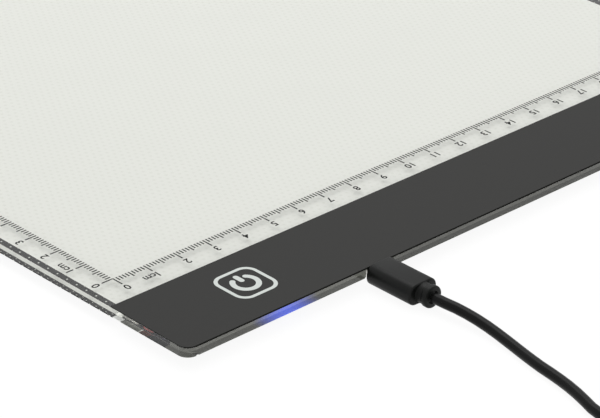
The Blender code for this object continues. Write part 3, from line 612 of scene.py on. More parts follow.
def micro_outline(grow):
    """The micro-USB section, wide on top with cut lower corners, with as many points as a disc."""
    half_x, half_z = micro_half[0] + grow, micro_half[1] + grow
    cut_x, cut_z = half_x - micro_cut[0], micro_cut[1] - half_z
    corners = np.array(((half_x, half_z), (-half_x, half_z), (-half_x, cut_z), (-cut_x, -half_z),
                        (cut_x, -half_z), (half_x, cut_z), (half_x, half_z)))
    return spaced_evenly(corners, len(neck), endpoint=False)


body_back = body_front - body_length
collar_front = body_back - neck_length
collar_back = collar_front - collar_length
micro_pocket = micro_outline(pocket_gap)
collar_ahead = ((0.0, 5.7), (0.12, 5.9), (0.35, 6.1))
collar_behind = ((0.35, 6.1), (0.12, 5.9), (0.0, 5.4), (0.0, 3.6), (0.5, 3.1))
plug_stations = [(body_front - pocket_depth, micro_pocket), (body_front, micro_pocket)]
plug_stations += fillet_stations(body_front, body_size, front_fillet, -1)
plug_stations += fillet_stations(body_back, body_size, back_fillet, 1)[::-1]
plug_stations += [(body_back, disc(5.8 * MM)), (body_back - 0.3 * MM, neck), (collar_front, neck)]
plug_stations += [(collar_front - inward * MM, disc(across * MM)) for inward, across in collar_ahead]
plug_stations += [(collar_back + inward * MM, disc(across * MM)) for inward, across in collar_behind]
plug_rings = sections_along_y(plug_stations) + np.array((socket_x, 0.0, plug_z))
dressed("micro_plug_body", plug_rings, black_pvc, "lead", "black_pvc", "plug_overmould")
print("plug body spans", [round(value / MM, 2) for value in (plug_rings[..., 1].min(), body_front)])

# %% [markdown]
# White dots under the plate
#
# The real plate's underside is printed with a lattice of small white dots that let the light out. They
# show as a faint pattern on the white sheet, and as clear white spots on the black tape round it. A
# node group measures the distance to the nearest point of a staggered lattice.

# %% Dot lattice group
dot_pitch_x = 2.15 * MM
dot_pitch_y = 3.73 * MM
dot_origin = (ruler_x - 6.4 * MM, ruler_y + 29.2 * MM)


def build_dot_lattice():
    """Mask that is 1 inside a dot.

    With u = (x - x0) / px and v = (y - y0) / py, the nearest point of the first lattice is u and v
    rounded, and of the second u and v rounded after half a step. The mask falls from 1 to 0 as the
    smaller of both distances passes the dot's radius.
    """
    group, start = new_group("dot_lattice", {"Vector": ("Vector", None), "Radius": ("Float", 0.4 * MM),
                                             "Softness": ("Float", 0.1 * MM)}, {"Mask": "Float"})
    split = add_node(group, "ShaderNodeSeparateXYZ", {0: start.outputs["Vector"]})
    distances = []
    for shift in (0.5, 0.0):
        offsets = []
        for axis, (pitch, origin) in enumerate(((dot_pitch_x, dot_origin[0]), (dot_pitch_y, dot_origin[1]))):
            steps = add_math(group, "MULTIPLY_ADD", split.outputs[axis], 1 / pitch, shift - origin / pitch)
            part = add_math(group, "FRACT", steps)
            centred = add_math(group, "SUBTRACT", part, 0.5)
            offsets.append(add_math(group, "MULTIPLY", centred, pitch))
        flat = add_node(group, "ShaderNodeCombineXYZ", {0: offsets[0], 1: offsets[1]})
        reach = add_node(group, "ShaderNodeVectorMath", {0: flat.outputs[0]}, operation="LENGTH")
        distances.append(reach.outputs["Value"])
    nearest = add_math(group, "MINIMUM", *distances)
    inner_edge = add_math(group, "SUBTRACT", start.outputs["Radius"], start.outputs["Softness"])
    outer_edge = add_math(group, "ADD", start.outputs["Radius"], start.outputs["Softness"])
    mask = add_node(group, "ShaderNodeMapRange", {"Value": nearest, "From Min": inner_edge,
                                                  "From Max": outer_edge, "To Min": 1.0, "To Max": 0.0})
    add_node(group, "NodeGroupOutput", {"Mask": mask.outputs[0]})
    return group


dot_lattice = build_dot_lattice()


def add_dots(material, dot_color, radius, softness, front_end):
    """Print the dot lattice over a grained material's colour, behind a front end along Y."""
    tree = material.node_tree
    dots = add_node(tree, "ShaderNodeGroup", {"Vector": object_place(material), "Radius": radius,
                                              "Softness": softness}, node_tree=dot_lattice)
    behind = add_math(tree, "GREATER_THAN", object_axis(material, "Y"), front_end)
    blend_color(material, add_math(tree, "MULTIPLY", dots.outputs["Mask"], behind), (*dot_color, 1.0))


band_depth = 27.1 * MM
white_sheet = grained("white_sheet", (0.775, 0.785, 0.735), 0.6, 0.015, 0.05, 60, 1500, 0.1, specular=0.2)
# The dot pattern is print, but on the white sheet the dots are painted a little darker than the sheet:
# painted shade of the white dots under the plate.
add_dots(white_sheet, (0.72, 0.73, 0.675), radius=0.42 * MM, softness=0.2 * MM, front_end=plate_low.y)
black_tape = grained("black_tape", (0.005, 0.005, 0.005), 0.6, 0.2, 0.1, 500, 4000, 0.2, specular=0.1)
add_dots(black_tape, (0.40, 0.41, 0.38), radius=0.23 * MM, softness=0.08 * MM,
         front_end=plate_low.y + band_depth)
print("dots across the panel:", int((plate_high.x - plate_low.x) / dot_pitch_x))

# %% [markdown]
# What the clear rim shows beside the band
#
# In front of the panel the tape under the rim is not plain black. It has a pale band beside the
# lit edge, then grey foam, a dark stretch at the wires and olive grey at the corner. These are bands of
# colour along Y. They also glow with painted light: they give out a share of their colour, which stands
# in for the light that the rim carries inside it.

# %% Bands and light in the rim
rim_light = 0.7
dim_light = 0.6 * rim_light
dim_half = 5 * MM
olive_grey = (0.078, 0.079, 0.070)
band_edges = ((0.0, olive_grey), (7.9, (0.010, 0.011, 0.012)), (14.3, (0.040, 0.014, 0.011)),
              (17.2, (0.30, 0.30, 0.28)), (17.6, (0.085, 0.087, 0.076)), (24.1, (0.58, 0.59, 0.57)),
              (band_depth / MM, (0.012, 0.012, 0.012)))


def add_bands(material, edges, length):
    """Flat bands along Y in front of the length; each edge in mm starts its own colour."""
    tree = material.node_tree
    along = add_math(tree, "MULTIPLY_ADD", object_axis(material, "Y"), 1 / length, -plate_low.y / length)
    ramp = add_node(tree, "ShaderNodeValToRGB", {"Fac": along})
    ramp.color_ramp.interpolation = "CONSTANT"
    stops = ramp.color_ramp.elements
    for place, color in edges[1:]:
        stops.new(place * MM / length).color = (*color, 1.0)
    stops[0].color = (*edges[0][1], 1.0)
    stops.remove(stops[-1])
    blend_color(material, add_math(tree, "LESS_THAN", along, 1.0), ramp.outputs["Color"])


def add_rim_light(material, share):
    """Give out a share of the base colour as painted light; the share is a number or a socket."""
    inputs = shader_of(material).inputs
    scaled = add_node(material.node_tree, "ShaderNodeVectorMath",
                      {0: inputs["Base Color"].links[0].from_socket, "Scale": share}, operation="SCALE")
    material.node_tree.links.new(scaled.outputs[0], inputs["Emission Color"])
    inputs["Emission Strength"].default_value = 1.0


# The side tape's bands glow with painted light, at the rim_light share of their colour.
side_tape = black_tape.copy()
side_tape.name = "side_tape"
add_bands(side_tape, band_edges, band_depth)
add_rim_light(side_tape, rim_light)
front_tape = grained("front_tape", olive_grey, 0.7, 0.1, 0.1, 500, 4000, 0.2, specular=0.2)
milled_wall = grained("milled_wall", (0.17, 0.172, 0.155), 0.7, 0.08, 0.1, 700, 5000, 0.3, specular=0.2)
# Painted light in the front tape and the milled wall: they give out a share of their colour, 0.7 left of the
# socket and weaker to its right.
for material in (front_tape, milled_wall):
    weaker = add_node(material.node_tree, "ShaderNodeMapRange",
                      {"Value": object_axis(material, "X"), "From Min": socket_x - dim_half,
                       "From Max": socket_x + dim_half, "To Min": rim_light, "To Max": dim_light})
    add_rim_light(material, weaker.outputs[0])
# Painted light: under the film the white sheet gives out a share of its colour, standing in for light
# scattered inside the plate.
under_film = add_math(white_sheet.node_tree, "LESS_THAN", object_axis(white_sheet, "Y"), band_y)
add_rim_light(white_sheet, add_math(white_sheet.node_tree, "MULTIPLY", under_film, rim_light))
print("bands under the rim:", len(band_edges))

# %% [markdown]
# What is bonded under the plate
#
# A white sheet lies under the panel and dark tape under the rim. The sheet could lie just below the
# plate, but then the thin layer of air would act as a mirror. Glue leaves no air, so each sheet's top is
# set a hair inside the plate, and the tape shows through the clear side. On the real pad the white sheet
# laps over the long strips, so here both end at the line up to which the tape is seen.

# %% Reflector sheet and border tape
bond_depth = 0.03 * MM
bonded_top = plate_low.z + bond_depth
tape_seen = 3.1 * MM
sheet_side = plate_high.x - tape_seen
corner_radius = 3 * MM
reflector_rings = slab_rings((-sheet_side, sheet_low.y, sheet_low.z), (sheet_side, sheet_high.y, bonded_top))
dressed("reflector", reflector_rings, white_sheet, "pad", "white_sheet", "reflector_sheet")


def plate_round(steps=12):
    """The plate's outer outline with its round corners."""
    return rounded_outline(plate_high.x - plate_low.x, plate_high.y - plate_low.y, corner_radius, steps)


def side_tape_outline(side):
    """A long strip whose two outer corners follow the plate's round corners."""
    strip = plate_round()
    strip[:, 0] = side * np.maximum(side * strip[:, 0], sheet_side)
    return strip


for side, side_name in ((-1, "left"), (1, "right")):
    dressed("side_tape_" + side_name, sheet_rings(side_tape_outline(side), tape_low.z, bonded_top),
            side_tape, "pad", "black_tape", "border_tape_" + side_name)
for strip_name, finish in (("back", black_tape), ("front_left", front_tape), ("front_right", front_tape)):
    low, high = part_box("border_tape_" + strip_name)
    dressed("cross_tape_" + strip_name, slab_rings(low, (high.x, high.y, bonded_top)), finish,
            "pad", "black_tape", "border_tape_" + strip_name)
print("tape seen from above is", round(tape_seen / MM, 2), "mm wide")

# %% [markdown]
# The clear plate
#
# Acrylic is cut and polished, so its outline carries a small chamfer all round. The window for the
# electronics and the notch for the socket are part of the same outline, because the notch opens the
# window to the front edge. The photo's corner is clear, so the window's two front corners are filled.
# A cut with a second solid would work too, but a profile carried along one closed outline stays clean.

# %% Plate outline
rim_width = 3.6 * MM
window_x = plate_high.x - rim_width
window_front = plate_low.y + rim_width
lit_edge = band_y - 2.2 * MM
notch_half = 4.75 * MM
edge_chamfer = 0.12 * MM
corner_x = plate_high.x - 19 * MM
corner_y = plate_low.y + 7.9 * MM


def plate_outline():
    """Outer edge counter-clockwise from the notch's right side, then the notch and the window.

    A point just past each end of a corner's arc keeps the long sides flat under smooth shading.
    """
    whole = plate_round(24)
    per_corner = len(whole) // 4
    nudge = 0.4 * MM
    corners = [whole[turn * per_corner:(turn + 1) * per_corner] for turn in (3, 0, 1, 2)]
    outer = []
    for arc in corners:
        first_way = (arc[0] - arc[1]) / np.linalg.norm(arc[0] - arc[1])
        last_way = (arc[-1] - arc[-2]) / np.linalg.norm(arc[-1] - arc[-2])
        outer.append(np.vstack([arc[:1] + nudge * first_way, arc, arc[-1:] + nudge * last_way]))
    left, right = socket_x - notch_half, socket_x + notch_half
    front = plate_low.y
    inside = np.array(((left, front), (left, window_front), (-corner_x, window_front),
                       (-corner_x, corner_y), (-window_x, corner_y), (-window_x, lit_edge),
                       (window_x, lit_edge), (window_x, corner_y), (corner_x, corner_y),
                       (corner_x, window_front), (right, window_front), (right, front)))
    return np.vstack(outer + [inside])


def mitred_inset(outline, inset):
    """Outline drawn in by an inset, each corner moved along its mitre."""
    before = outline - np.roll(outline, 1, axis=0)
    after = np.roll(outline, -1, axis=0) - outline
    before /= np.linalg.norm(before, axis=1)[:, None]
    after /= np.linalg.norm(after, axis=1)[:, None]
    normal_before = np.column_stack([-before[:, 1], before[:, 0]])
    normal_after = np.column_stack([-after[:, 1], after[:, 0]])
    mitre = normal_before + normal_after
    mitre /= np.sum(mitre * normal_after, axis=1)[:, None]
    return outline + inset * mitre


outline = plate_outline()
half_way = 1 - math.cos(math.pi / 4)
profile = ((1.0, 0.0), (half_way, half_way), (0.0, 1.0))
plate_levels = [(edge_chamfer * share, plate_low.z + edge_chamfer * rise) for share, rise in profile]
plate_levels += [(edge_chamfer * share, plate_high.z - edge_chamfer * rise) for share, rise in profile[::-1]]
plate_rings = level_rings([(mitred_inset(outline, inset), level) for inset, level in plate_levels])
print("plate outline has", len(outline), "points")

# %% [markdown]
# Clear acrylic as glass
#
# The plate is a real refracting solid with the index of acrylic. Light that comes from lamps or bounces
# off a matte surface passes straight through it instead, which keeps the sheet below evenly lit and
# free of noise. The cut edges are a little rougher and greyer than the polished faces.

# %% Acrylic
acrylic_index = 1.49


def mix_surface(tree, factor, first, second):
    """Mix two shaders into a material's output."""
    mix = add_node(tree, "ShaderNodeMixShader", {"Fac": factor, 1: first, 2: second})
    tree.links.new(mix.outputs["Shader"], tree.nodes["Material Output"].inputs["Surface"])


def clear_material(name, color, roughness, grain_scale, bump_height):
    """Glass for the camera and for mirror rays, and open to lamp rays and matte bounces."""
    material, tree, shader = new_material(name)
    shader.inputs["Base Color"].default_value = (*color, 1.0)
    shader.inputs["Transmission Weight"].default_value = 1.0
    shader.inputs["IOR"].default_value = acrylic_index
    place = add_node(tree, "ShaderNodeTexCoord")
    noise = add_node(tree, "ShaderNodeTexNoise", {"Vector": place.outputs["Object"], "Scale": grain_scale})
    rough = add_math(tree, "MULTIPLY_ADD", noise.outputs["Fac"], roughness, roughness / 2)
    tree.links.new(rough, shader.inputs["Roughness"])
    relief = add_node(tree, "ShaderNodeBump", {"Strength": 0.1, "Distance": bump_height,
                                               "Height": noise.outputs["Fac"]})
    tree.links.new(relief.outputs["Normal"], shader.inputs["Normal"])
    ray = add_node(tree, "ShaderNodeLightPath")
    open_ray = add_math(tree, "MAXIMUM", ray.outputs["Is Shadow Ray"], ray.outputs["Is Diffuse Ray"])
    through = add_node(tree, "ShaderNodeBsdfTransparent")
    mix_surface(tree, open_ray, shader.outputs["BSDF"], through.outputs["BSDF"])
    return material


acrylic_face = clear_material("acrylic_face", (0.985, 0.99, 0.975), 0.02, 30.0, 0.002 * MM)
acrylic_edge = clear_material("acrylic_edge", (0.70, 0.705, 0.69), 0.05, 900.0, 0.01 * MM)
print("acrylic bends light by the index", acrylic_index)

# %% Plate with its faces sorted
wall_margin = 0.3 * MM
lit_margin = 1.0 * MM
upright_limit = 0.2
level_limit = 0.95


def face_values(piece, what):
    """Each face's normal or center, as rows of three."""
    values = np.zeros(len(piece.data.polygons) * 3)
    piece.data.polygons.foreach_get(what, values)
    return values.reshape(-1, 3)


plate = dressed("clear_plate", plate_rings, [acrylic_face, acrylic_edge, milled_wall],
                "pad", "acrylic", "light_guide_plate", sharp=12.0)
steepness = np.abs(face_values(plate, "normal")[:, 2])
wall_x, wall_y, _ = face_values(plate, "center").T
wall_x = np.abs(wall_x)
milled = ((wall_x < window_x - wall_margin) & (wall_y > plate_low.y + wall_margin)
          & (wall_y < lit_edge - lit_margin))
finish_index = np.where(milled & (steepness < level_limit), 2, np.where(steepness < upright_limit, 1, 0))
plate.data.polygons.foreach_set("material_index", finish_index.astype(np.int32))
print("plate faces:", len(finish_index), "milled:", int(np.sum(finish_index == 2)))

# %% [markdown]
# The dark control film
#
# A matte printed film covers the front band. It is bonded to the plate, so its underside is set a hair
# inside it too, and its front corners follow the plate's. Its front cut edge gets a darker finish of its
# own with no shine: partly the edge's own tone, partly painted shade. A very thin dark strip laps over the
# plate's front edge and hangs down its face: the film's edge with a painted shadow below it.

# %% Control film
def film_outline():
    """The plate's outline, kept in front of the band's back edge."""
    band = plate_round(24)
    band[:, 1] = np.minimum(band[:, 1], band_y)
    return band


dark_film = grained("dark_film", (0.0225, 0.0225, 0.021), 0.5, 0.10, 0.06, 900, 5000, 0.25, specular=0.13)
film_edge_and_shade = grained("film_edge_and_shade", (0.017, 0.017, 0.016), 0.7, 0.10, 0.06, 900, 5000, 0.25, specular=0.0)
film_edge = 0.04 * MM
film_base = film_outline()
film_levels = ((0.0, plate_high.z - bond_depth), (0.0, film_high.z - film_edge), (film_edge, film_high.z))
film_rings = level_rings([(film_base * (1 - inset / plate_high.x), level) for inset, level in film_levels])
film = dressed("band_film", film_rings, [dark_film, film_edge_and_shade], "pad", "dark_film", "control_film")
# The film's faces toward the front take the darker finish: partly the cut edge's own tone, partly painted
# shade.
on_rim = face_values(film, "normal")[:, 1] < -0.5
film.data.polygons.foreach_set("material_index", on_rim.astype(np.int32))
# A thin dark strip 0.2 mm down the plate's front face: the film's edge with a painted shadow under it.
lip_shadow_drop = 0.2 * MM
lip_thickness = 0.02 * MM
lip_side = plate_high.x - corner_radius
lip_rings = slab_rings((-lip_side, plate_low.y - lip_thickness, plate_high.z - lip_shadow_drop),
                       (lip_side, plate_low.y, film_high.z - film_edge))
dressed("film_lip_and_shadow", lip_rings, film_edge_and_shade, "pad", "dark_film")
print("film faces on the front rim:", int(np.sum(on_rim)))

# %% [markdown]
# The power symbol
#
# A rounded square round a broken ring and a bar is the common sign for a power key. It is light ink,
# so each stroke is a very thin solid on the film: a loop between two rounded outlines, a broken ring
# with round ends, and a bar.

# %% Power symbol strokes
ink_thickness = 0.02 * MM
symbol_centre = np.array((symbol_x, symbol_y))


def arc_points(centre, radius, start, end, count):
    """Points on an arc: centre + r (cos a, sin a), with a from start to end."""
    angle = np.linspace(start, end, count)
    return np.array(centre) + radius * np.column_stack([np.cos(angle), np.sin(angle)])


def broken_ring(radius, stroke, gap_half):
    """Outline of a ring with a gap toward +Y, each end a half circle on the stroke's middle line."""
    start, end = math.pi / 2 + gap_half, 2.5 * math.pi - gap_half
    first_end, last_end = (arc_points((0, 0), radius, angle, angle, 1)[0] for angle in (start, end))
    return np.vstack([arc_points((0, 0), radius + stroke / 2, start, end, 64),
                      arc_points(last_end, stroke / 2, end, end + math.pi, 10)[1:-1],
                      arc_points((0, 0), radius - stroke / 2, end, start, 64),
                      arc_points(first_end, stroke / 2, start + math.pi, start + 2 * math.pi, 10)[1:-1]])


def bar_outline(low_y, high_y, stroke):
    """A bar along Y with round ends."""
    return np.vstack([arc_points((0, high_y), stroke / 2, 0, math.pi, 12),
                      arc_points((0, low_y), stroke / 2, math.pi, 2 * math.pi, 12)])


frame_outer = (13.4 * MM, 13.4 * MM, 3.6 * MM)
frame_inner = (11.4 * MM, 11.4 * MM, 2.7 * MM)
ring_radius = 3.3 * MM
ring_stroke = 1.5 * MM
gap_half = math.radians(41)
bar_low = 1.5 * MM
bar_high = 3.65 * MM
ink_low, ink_high = film_high.z, film_high.z + ink_thickness
outer_line, inner_line = (symbol_centre + rounded_outline(*size) for size in (frame_outer, frame_inner))
frame_rings = level_rings(((outer_line, ink_low), (outer_line, ink_high),
                           (inner_line, ink_high), (inner_line, ink_low)))
dressed("power_frame", frame_rings, symbol_ink, "pad", "white_sheet", closed=True)
for stroke_name, outline in (("power_ring", broken_ring(ring_radius, ring_stroke, gap_half)),
                             ("power_bar", bar_outline(bar_low, bar_high, ring_stroke))):
    dressed(stroke_name, sheet_rings(symbol_centre + outline, ink_low, ink_high), symbol_ink,
            "pad", "white_sheet")
print("symbol is", round(frame_outer[0] / MM, 1), "mm across")

# %% [markdown]
# The rulers
#
# Two centimetre rulers meet at a corner inside the clear border. Their ticks run out from the panel's
# side, and the numbers stand just outside the centimetre ticks. The ink lies on top of the plate, so
# it casts a faint shadow on the sheet below.

# %% Ruler ticks
tick_width = 0.42 * MM
tick_lengths = np.array((1.7, 2.4, 3.6)) * MM
front_ticks = int((plate_high.x - ruler_margin - ruler_x) / MM + 0.5)
side_ticks = int((plate_high.y - ruler_margin - ruler_y) / MM + 0.5)
marks_low, marks_high = plate_high.z, plate_high.z + ink_thickness


def tick_solids(count, along_x):
    """Boxes for the ticks of one ruler: long at each centimetre, middle at each half."""
    number = np.arange(count + 1)
    length = np.where(number % 10 == 0, tick_lengths[2],
                      np.where(number % 5 == 0, tick_lengths[1], tick_lengths[0]))
    solids = []
    for step, reach in zip(number, length):
        if along_x:
            low = (ruler_x + step * MM - tick_width / 2, ruler_y - reach, marks_low)
            high = (ruler_x + step * MM + tick_width / 2, ruler_y, marks_high)
        else:
            low = (ruler_x - reach, ruler_y + step * MM - tick_width / 2, marks_low)
            high = (ruler_x, ruler_y + step * MM + tick_width / 2, marks_high)
        solids.append(slab_rings(low, high))
    return solids


for ruler_name, count, along_x in (("front", front_ticks, True), ("side", side_ticks, False)):
    marks = many_solids("ruler_marks_" + ruler_name, tick_solids(count, along_x), ruler_ink)
    place_piece(marks, "pad", "dark_film")
    print(ruler_name, "ruler has", count + 1, "ticks")

# %% [markdown]
# Numbers come from Blender's own font. Each label is made a mesh first, then scaled to the printed size,
# turned and moved, so that the finished piece sits at the origin.

# %% Ruler numbers
digit_height = 2.4 * MM
digit_gap = 0.75 * MM
glyph_thickness = 0.004
glyph_bolder = 0.018


def glyph_mesh(text):
    """Points and faces of a text, with its thickness, and its width, in units of the font's size."""
    curve = bpy.data.curves.new("glyph", "FONT")
    curve.body = text
    curve.resolution_u = 3
    curve.extrude = glyph_thickness
    curve.offset = glyph_bolder
    item = linked("glyph", curve)
    shape = bpy.data.meshes.new_from_object(item.evaluated_get(bpy.context.evaluated_depsgraph_get()))
    points = np.zeros(len(shape.vertices) * 3)
    shape.vertices.foreach_get("co", points)
    faces = [list(face.vertices) for face in shape.polygons]
    bpy.data.objects.remove(item, do_unlink=True)
    bpy.data.meshes.remove(shape)
    return points.reshape(-1, 3), faces


zero_points, _ = glyph_mesh("0")
font_height = float(np.ptp(zero_points[:, 1]))
font_low = float(zero_points[:, 1].min())


def label_mesh(text, middle, turn, align=0.5):
    """A text of the printed height, centred on its own width, turned about Z and moved."""
    points, faces = glyph_mesh(text)
    scale = digit_height / font_height
    low_x, high_x = points[:, 0].min(), points[:, 0].max()
    x = (points[:, 0] - low_x - align * (high_x - low_x)) * scale
    y = (points[:, 1] - font_low) * scale
    z = np.where(points[:, 2] > 0, marks_high, marks_low)
    placed = np.column_stack([middle[0] + x * math.cos(turn) - y * math.sin(turn),
                              middle[1] + x * math.sin(turn) + y * math.cos(turn), z])
    return placed, faces


def numbers_piece(name, labels):
    """One object from many labels."""
    all_points, all_faces, count = [], [], 0
    for points, faces in labels:
        all_points.append(points)
        all_faces += [[corner + count for corner in face] for face in faces]
        count += len(points)
    return finish_mesh(name, np.vstack(all_points), all_faces, ruler_ink)


label_reach = tick_lengths[2] + digit_gap
front_labels = [label_mesh(str(value), (ruler_x + value * 10 * MM, ruler_y - label_reach), math.pi)
                for value in range(front_ticks // 10 + 1)]
front_labels.append(label_mesh("cm", (ruler_x + 9.5 * MM, ruler_y - label_reach), math.pi, 0.0))
side_labels = [label_mesh(str(value), (ruler_x - label_reach, ruler_y + value * 10 * MM), math.pi / 2)
               for value in range(side_ticks // 10 + 1)]
side_labels.append(label_mesh("cm", (ruler_x - label_reach, ruler_y + 10.8 * MM), math.pi / 2, 0.0))
for ruler_name, labels in (("front", front_labels), ("side", side_labels)):
    place_piece(numbers_piece("ruler_numbers_" + ruler_name, labels), "pad", "dark_film")
    print(ruler_name, "ruler has", len(labels), "labels")

# %% [markdown]
# What shows through the clear rim
#
# The boards, chips and wires keep their CAD shapes. Round the dark corner they can be seen through the
# plate's side, so they get real finishes too: solder resist with tracks, copper foil, a lit blue lens.

# %% Boards and the indicator
def printed_board(name, resist, track, scale):
    """Solder resist with raised lighter tracks, from a brick pattern of thin joints."""
    material = grained(name, resist, 0.4, 0.06, 0.1, 1200, 6000, 0.1)
    tracks = add_node(material.node_tree, "ShaderNodeTexBrick", {
        "Vector": object_place(material), "Scale": scale, "Mortar Size": 0.06,
        "Color1": (0, 0, 0, 1), "Color2": (0, 0, 0, 1), "Mortar": (1, 1, 1, 1)})
    blend_color(material, tracks.outputs["Color"], (*track, 1.0))
    return material


white_board = printed_board("white_board", (0.68, 0.68, 0.65), (0.60, 0.58, 0.50), 300.0)
green_board = printed_board("green_board", (0.03, 0.11, 0.05), (0.06, 0.20, 0.10), 300.0)
blue_led = grained("blue_led", (0.35, 0.45, 0.95), 0.25, 0.05, 0.05, 1500, 6000, 0.05)
shader_of(blue_led).inputs["Emission Color"].default_value = (0.10, 0.13, 1.0, 1.0)
shader_of(blue_led).inputs["Emission Strength"].default_value = 5.0

cover_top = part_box("rear_cover")[1].z
inner_face = add_math(cover_plastic.node_tree, "GREATER_THAN", object_axis(cover_plastic, "Z"),
                      cover_top - 0.05 * MM)
blend_color(cover_plastic, inner_face, (0.06, 0.062, 0.068, 1.0))

finishes = {
    "rear_cover": cover_plastic, "led_board": white_board, "driver_board": green_board,
    "touch_pad": copper_foil, "touch_chip": chip_black, "led_driver_chip": chip_black,
    "power_inductor": ferrite, "indicator_led": blue_led, "usb_socket_shell": bright_steel,
    "usb_socket_tongue": black_insert, "plug_shell": bright_steel, "plug_insert": black_insert,
    "usb_a_shell": bright_steel, "usb_a_insert": white_insert,
}
for start, finish in (("foot_", foot_rubber), ("capacitor_", ceramic_tan), ("resistor_", chip_black)):
    finishes.update({name: finish for name in nodes if name.startswith(start)})
for node_name, finish in finishes.items():
    nodes[node_name].data.materials.clear()
    nodes[node_name].data.materials.append(finish)
print("CAD nodes with their own finish:", len(finishes))

# %% [markdown]
# The two wires
#
# A red and a black wire join the LED board to the driver board. Each bows out to the clear rim, where
# the red one shows through the side. A tube is a ring of points set square to a path.

# %% Wires
wire_radius = 0.5 * MM
board_low, board_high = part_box("driver_board")
wire_low = cover_top + 0.15 * MM + wire_radius
wire_high = board_high.z + 0.05 * MM + wire_radius
red_route = ((0.275, 0.19, 1.0), (0.16, 0.27, 0.7), (0.045, 0.35, 0.2), (0.035, 0.42, 0.0),
             (0.05, 0.48, 0.0), (0.16, 0.515, 0.0), (0.5, 0.51, 0.0), (0.89, 0.51, 1.0), (1.075, 0.51, 1.0))
black_route = ((0.51, 0.19, 1.0), (0.52, 0.32, 1.25), (0.475, 0.49, 1.45), (0.225, 0.59, 0.55),
               (0.05, 0.67, 0.0), (0.06, 0.72, 0.0), (0.25, 0.765, 0.0), (0.56, 0.765, 0.0),
               (0.89, 0.765, 1.0), (1.075, 0.765, 1.0))


def tube_rings(path, radius, around=16):
    """Rings square to a path: path + r (cos a * side + sin a * up), with side = tangent x Z."""
    tangent = np.gradient(path, axis=0)
    side = np.cross(tangent, (0.0, 0.0, 1.0))
    side /= np.linalg.norm(side, axis=1)[:, None]
    up = np.cross(side, tangent)
    up /= np.linalg.norm(up, axis=1)[:, None]
    angle = np.linspace(0.0, 2 * math.pi, around, endpoint=False)[None, :, None]
    return path[:, None, :] + radius * (np.cos(angle) * side[:, None, :] + np.sin(angle) * up[:, None, :])


def wire_path(shares):
    """Shares across the bay, forward from the lit edge and up from the cover, as a smooth path."""
    across, forward, rise = np.array(shares).T
    route = np.column_stack([-window_x + across * (board_low.x + window_x),
                             lit_edge - forward * (lit_edge - window_front),
                             wire_low + rise * (wire_high - wire_low)])
    return smooth_route(route, wire_radius)


for color_name, shares, sleeve in (("red", red_route, red_sleeve), ("black", black_route, black_sleeve)):
    path = wire_path(shares)
    dressed(color_name + "_wire_tube", tube_rings(path, wire_radius), sleeve,
            "pad", color_name + "_sleeve", color_name + "_wire")
    nearest = path[:, 0].min() - wire_radius + window_x
    print(color_name, "wire comes within", round(nearest / MM, 2), "mm of the rim")

# %% [markdown]
# The blue glow
#
# The lamp beside the driver board shines into the clear rim through its milled wall, and the rim glows
# blue in front of it. So blue light is added to what the front tape and the milled wall give out, and
# it fades to both sides.

# %% Glow in the front rim
glow_middle = symbol_x + 1.2 * MM
glow_reach = 11.5 * MM
glow_blue = (0.025, 0.075, 0.72)


def add_glow(material, middle_x, reach, color):
    """Add light that falls off as (1 - (x - x0)^2 / reach^2)^2, and is nought beyond the reach."""
    tree = material.node_tree
    emission = shader_of(material).inputs["Emission Color"]
    away = add_math(tree, "MULTIPLY_ADD", object_axis(material, "X"), 1 / reach, -middle_x / reach)
    squared = add_math(tree, "MULTIPLY", away, away)
    near = add_math(tree, "MAXIMUM", add_math(tree, "SUBTRACT", 1.0, squared), 0.0)
    fade = add_math(tree, "MULTIPLY", near, near)
    added = add_node(tree, "ShaderNodeMix", {"Factor": fade, "A": emission.links[0].from_socket,
                                             "B": (*color, 1.0)}, data_type="RGBA", blend_type="ADD")
    tree.links.new(added.outputs["Result"], emission)


for material in (front_tape, milled_wall):
    add_glow(material, glow_middle, glow_reach, glow_blue)
print("glow reaches", glow_reach / MM, "mm to each side")

# %% [markdown]
# Floor and light
#
# The photo is a cut-out on white. The floor is pale and matte, and it is lifted toward white where the
# camera, a mirror ray or a glass ray sees it, so it keeps a faint shadow. A white plane without a shadow
# would let the pad float. The world gives even light from all around, and is white in the same rays.

# %% Floor
floor_reach = 4.0
floor_lift = 0.88
floor_white = 1.04


def directly_seen(tree):
    """A socket that is 1 for camera, mirror and glass rays."""
    ray = add_node(tree, "ShaderNodeLightPath")
    through = add_math(tree, "MAXIMUM", ray.outputs["Is Glossy Ray"], ray.outputs["Is Transmission Ray"])
    return add_math(tree, "MAXIMUM", ray.outputs["Is Camera Ray"], through)


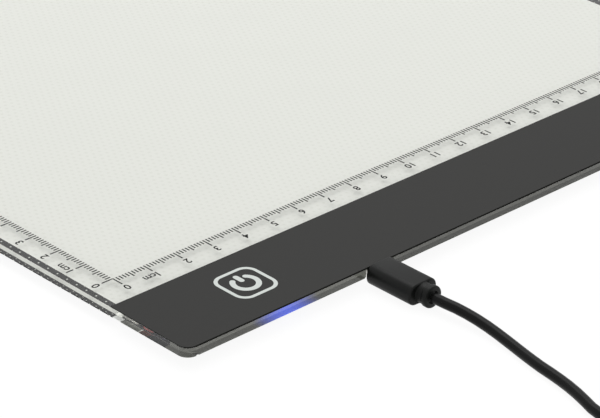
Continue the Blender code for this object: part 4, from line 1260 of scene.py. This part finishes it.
def pale_floor():
    """Matte near-white that is lifted toward white where it is directly seen."""
    material, tree, shader = new_material("pale_floor")
    shader.inputs["Base Color"].default_value = (0.90, 0.90, 0.90, 1.0)
    shader.inputs["Roughness"].default_value = 0.9
    shader.inputs["Specular IOR Level"].default_value = 0.0
    lift = add_math(tree, "MULTIPLY", directly_seen(tree), floor_lift)
    white = add_node(tree, "ShaderNodeEmission", {"Color": (1, 1, 1, 1), "Strength": floor_white})
    mix_surface(tree, lift, shader.outputs["BSDF"], white.outputs["Emission"])
    return material


floor_corners = box_outline((-floor_reach, -floor_reach), (floor_reach, floor_reach))
floor = finish_mesh("floor", np.column_stack([floor_corners, np.zeros(4)]), [[0, 1, 2, 3]], pale_floor())
print("floor is", 2 * floor_reach, "m across")

# %% World
ambient = 0.62
world = bpy.data.worlds.new("studio")
world.use_nodes = True
strength = add_math(world.node_tree, "MULTIPLY_ADD", directly_seen(world.node_tree), 1.0 - ambient, ambient)
background = world.node_tree.nodes["Background"]
background.inputs["Color"].default_value = (1.0, 1.0, 1.0, 1.0)
world.node_tree.links.new(strength, background.inputs["Strength"])
bpy.context.scene.world = world
bpy.context.scene.view_settings.view_transform = "Standard"
print("ambient light:", ambient)

# %% [markdown]
# The lamps
#
# A real photo studio hangs a wide soft box over the table. The second lamp is only 1 mm wide: it stands
# for the light that the pad's own LEDs leave in the clear rim beside the band. It lies inside the plate,
# shines inward and a little down, and neither the camera nor the glass sees it.

# %% Lamps
softbox_power = 8.6
rim_lamp_power = 0.00025
rim_lamp_length = 15 * MM
rim_lamp_tilt = math.radians(-65)
rim_lamp_place = (plate_low.x + 1.8 * MM, plate_low.y + 15.5 * MM, plate_high.z - 0.7 * MM)


def add_lamp(name, place, size, power):
    """A square soft lamp that looks at the pad."""
    data = bpy.data.lights.new(name, "AREA")
    data.size = size
    data.energy = power
    lamp = linked(name, data)
    lamp.location = place
    lamp.rotation_euler = (camera_aim - Vector(place)).to_track_quat("-Z", "Y").to_euler()
    lamp.visible_camera = False
    return lamp


add_lamp("softbox_above", (0.25, 0.35, 1.3), 1.0, softbox_power)
rim_lamp = add_lamp("light_in_the_rim", rim_lamp_place, MM, rim_lamp_power)
rim_lamp.data.shape = "RECTANGLE"
rim_lamp.data.size_y = rim_lamp_length
rim_lamp.rotation_euler = (0.0, rim_lamp_tilt, 0.0)
rim_lamp.visible_glossy = False
rim_lamp.visible_transmission = False
print("lamps:", len(bpy.data.lights))
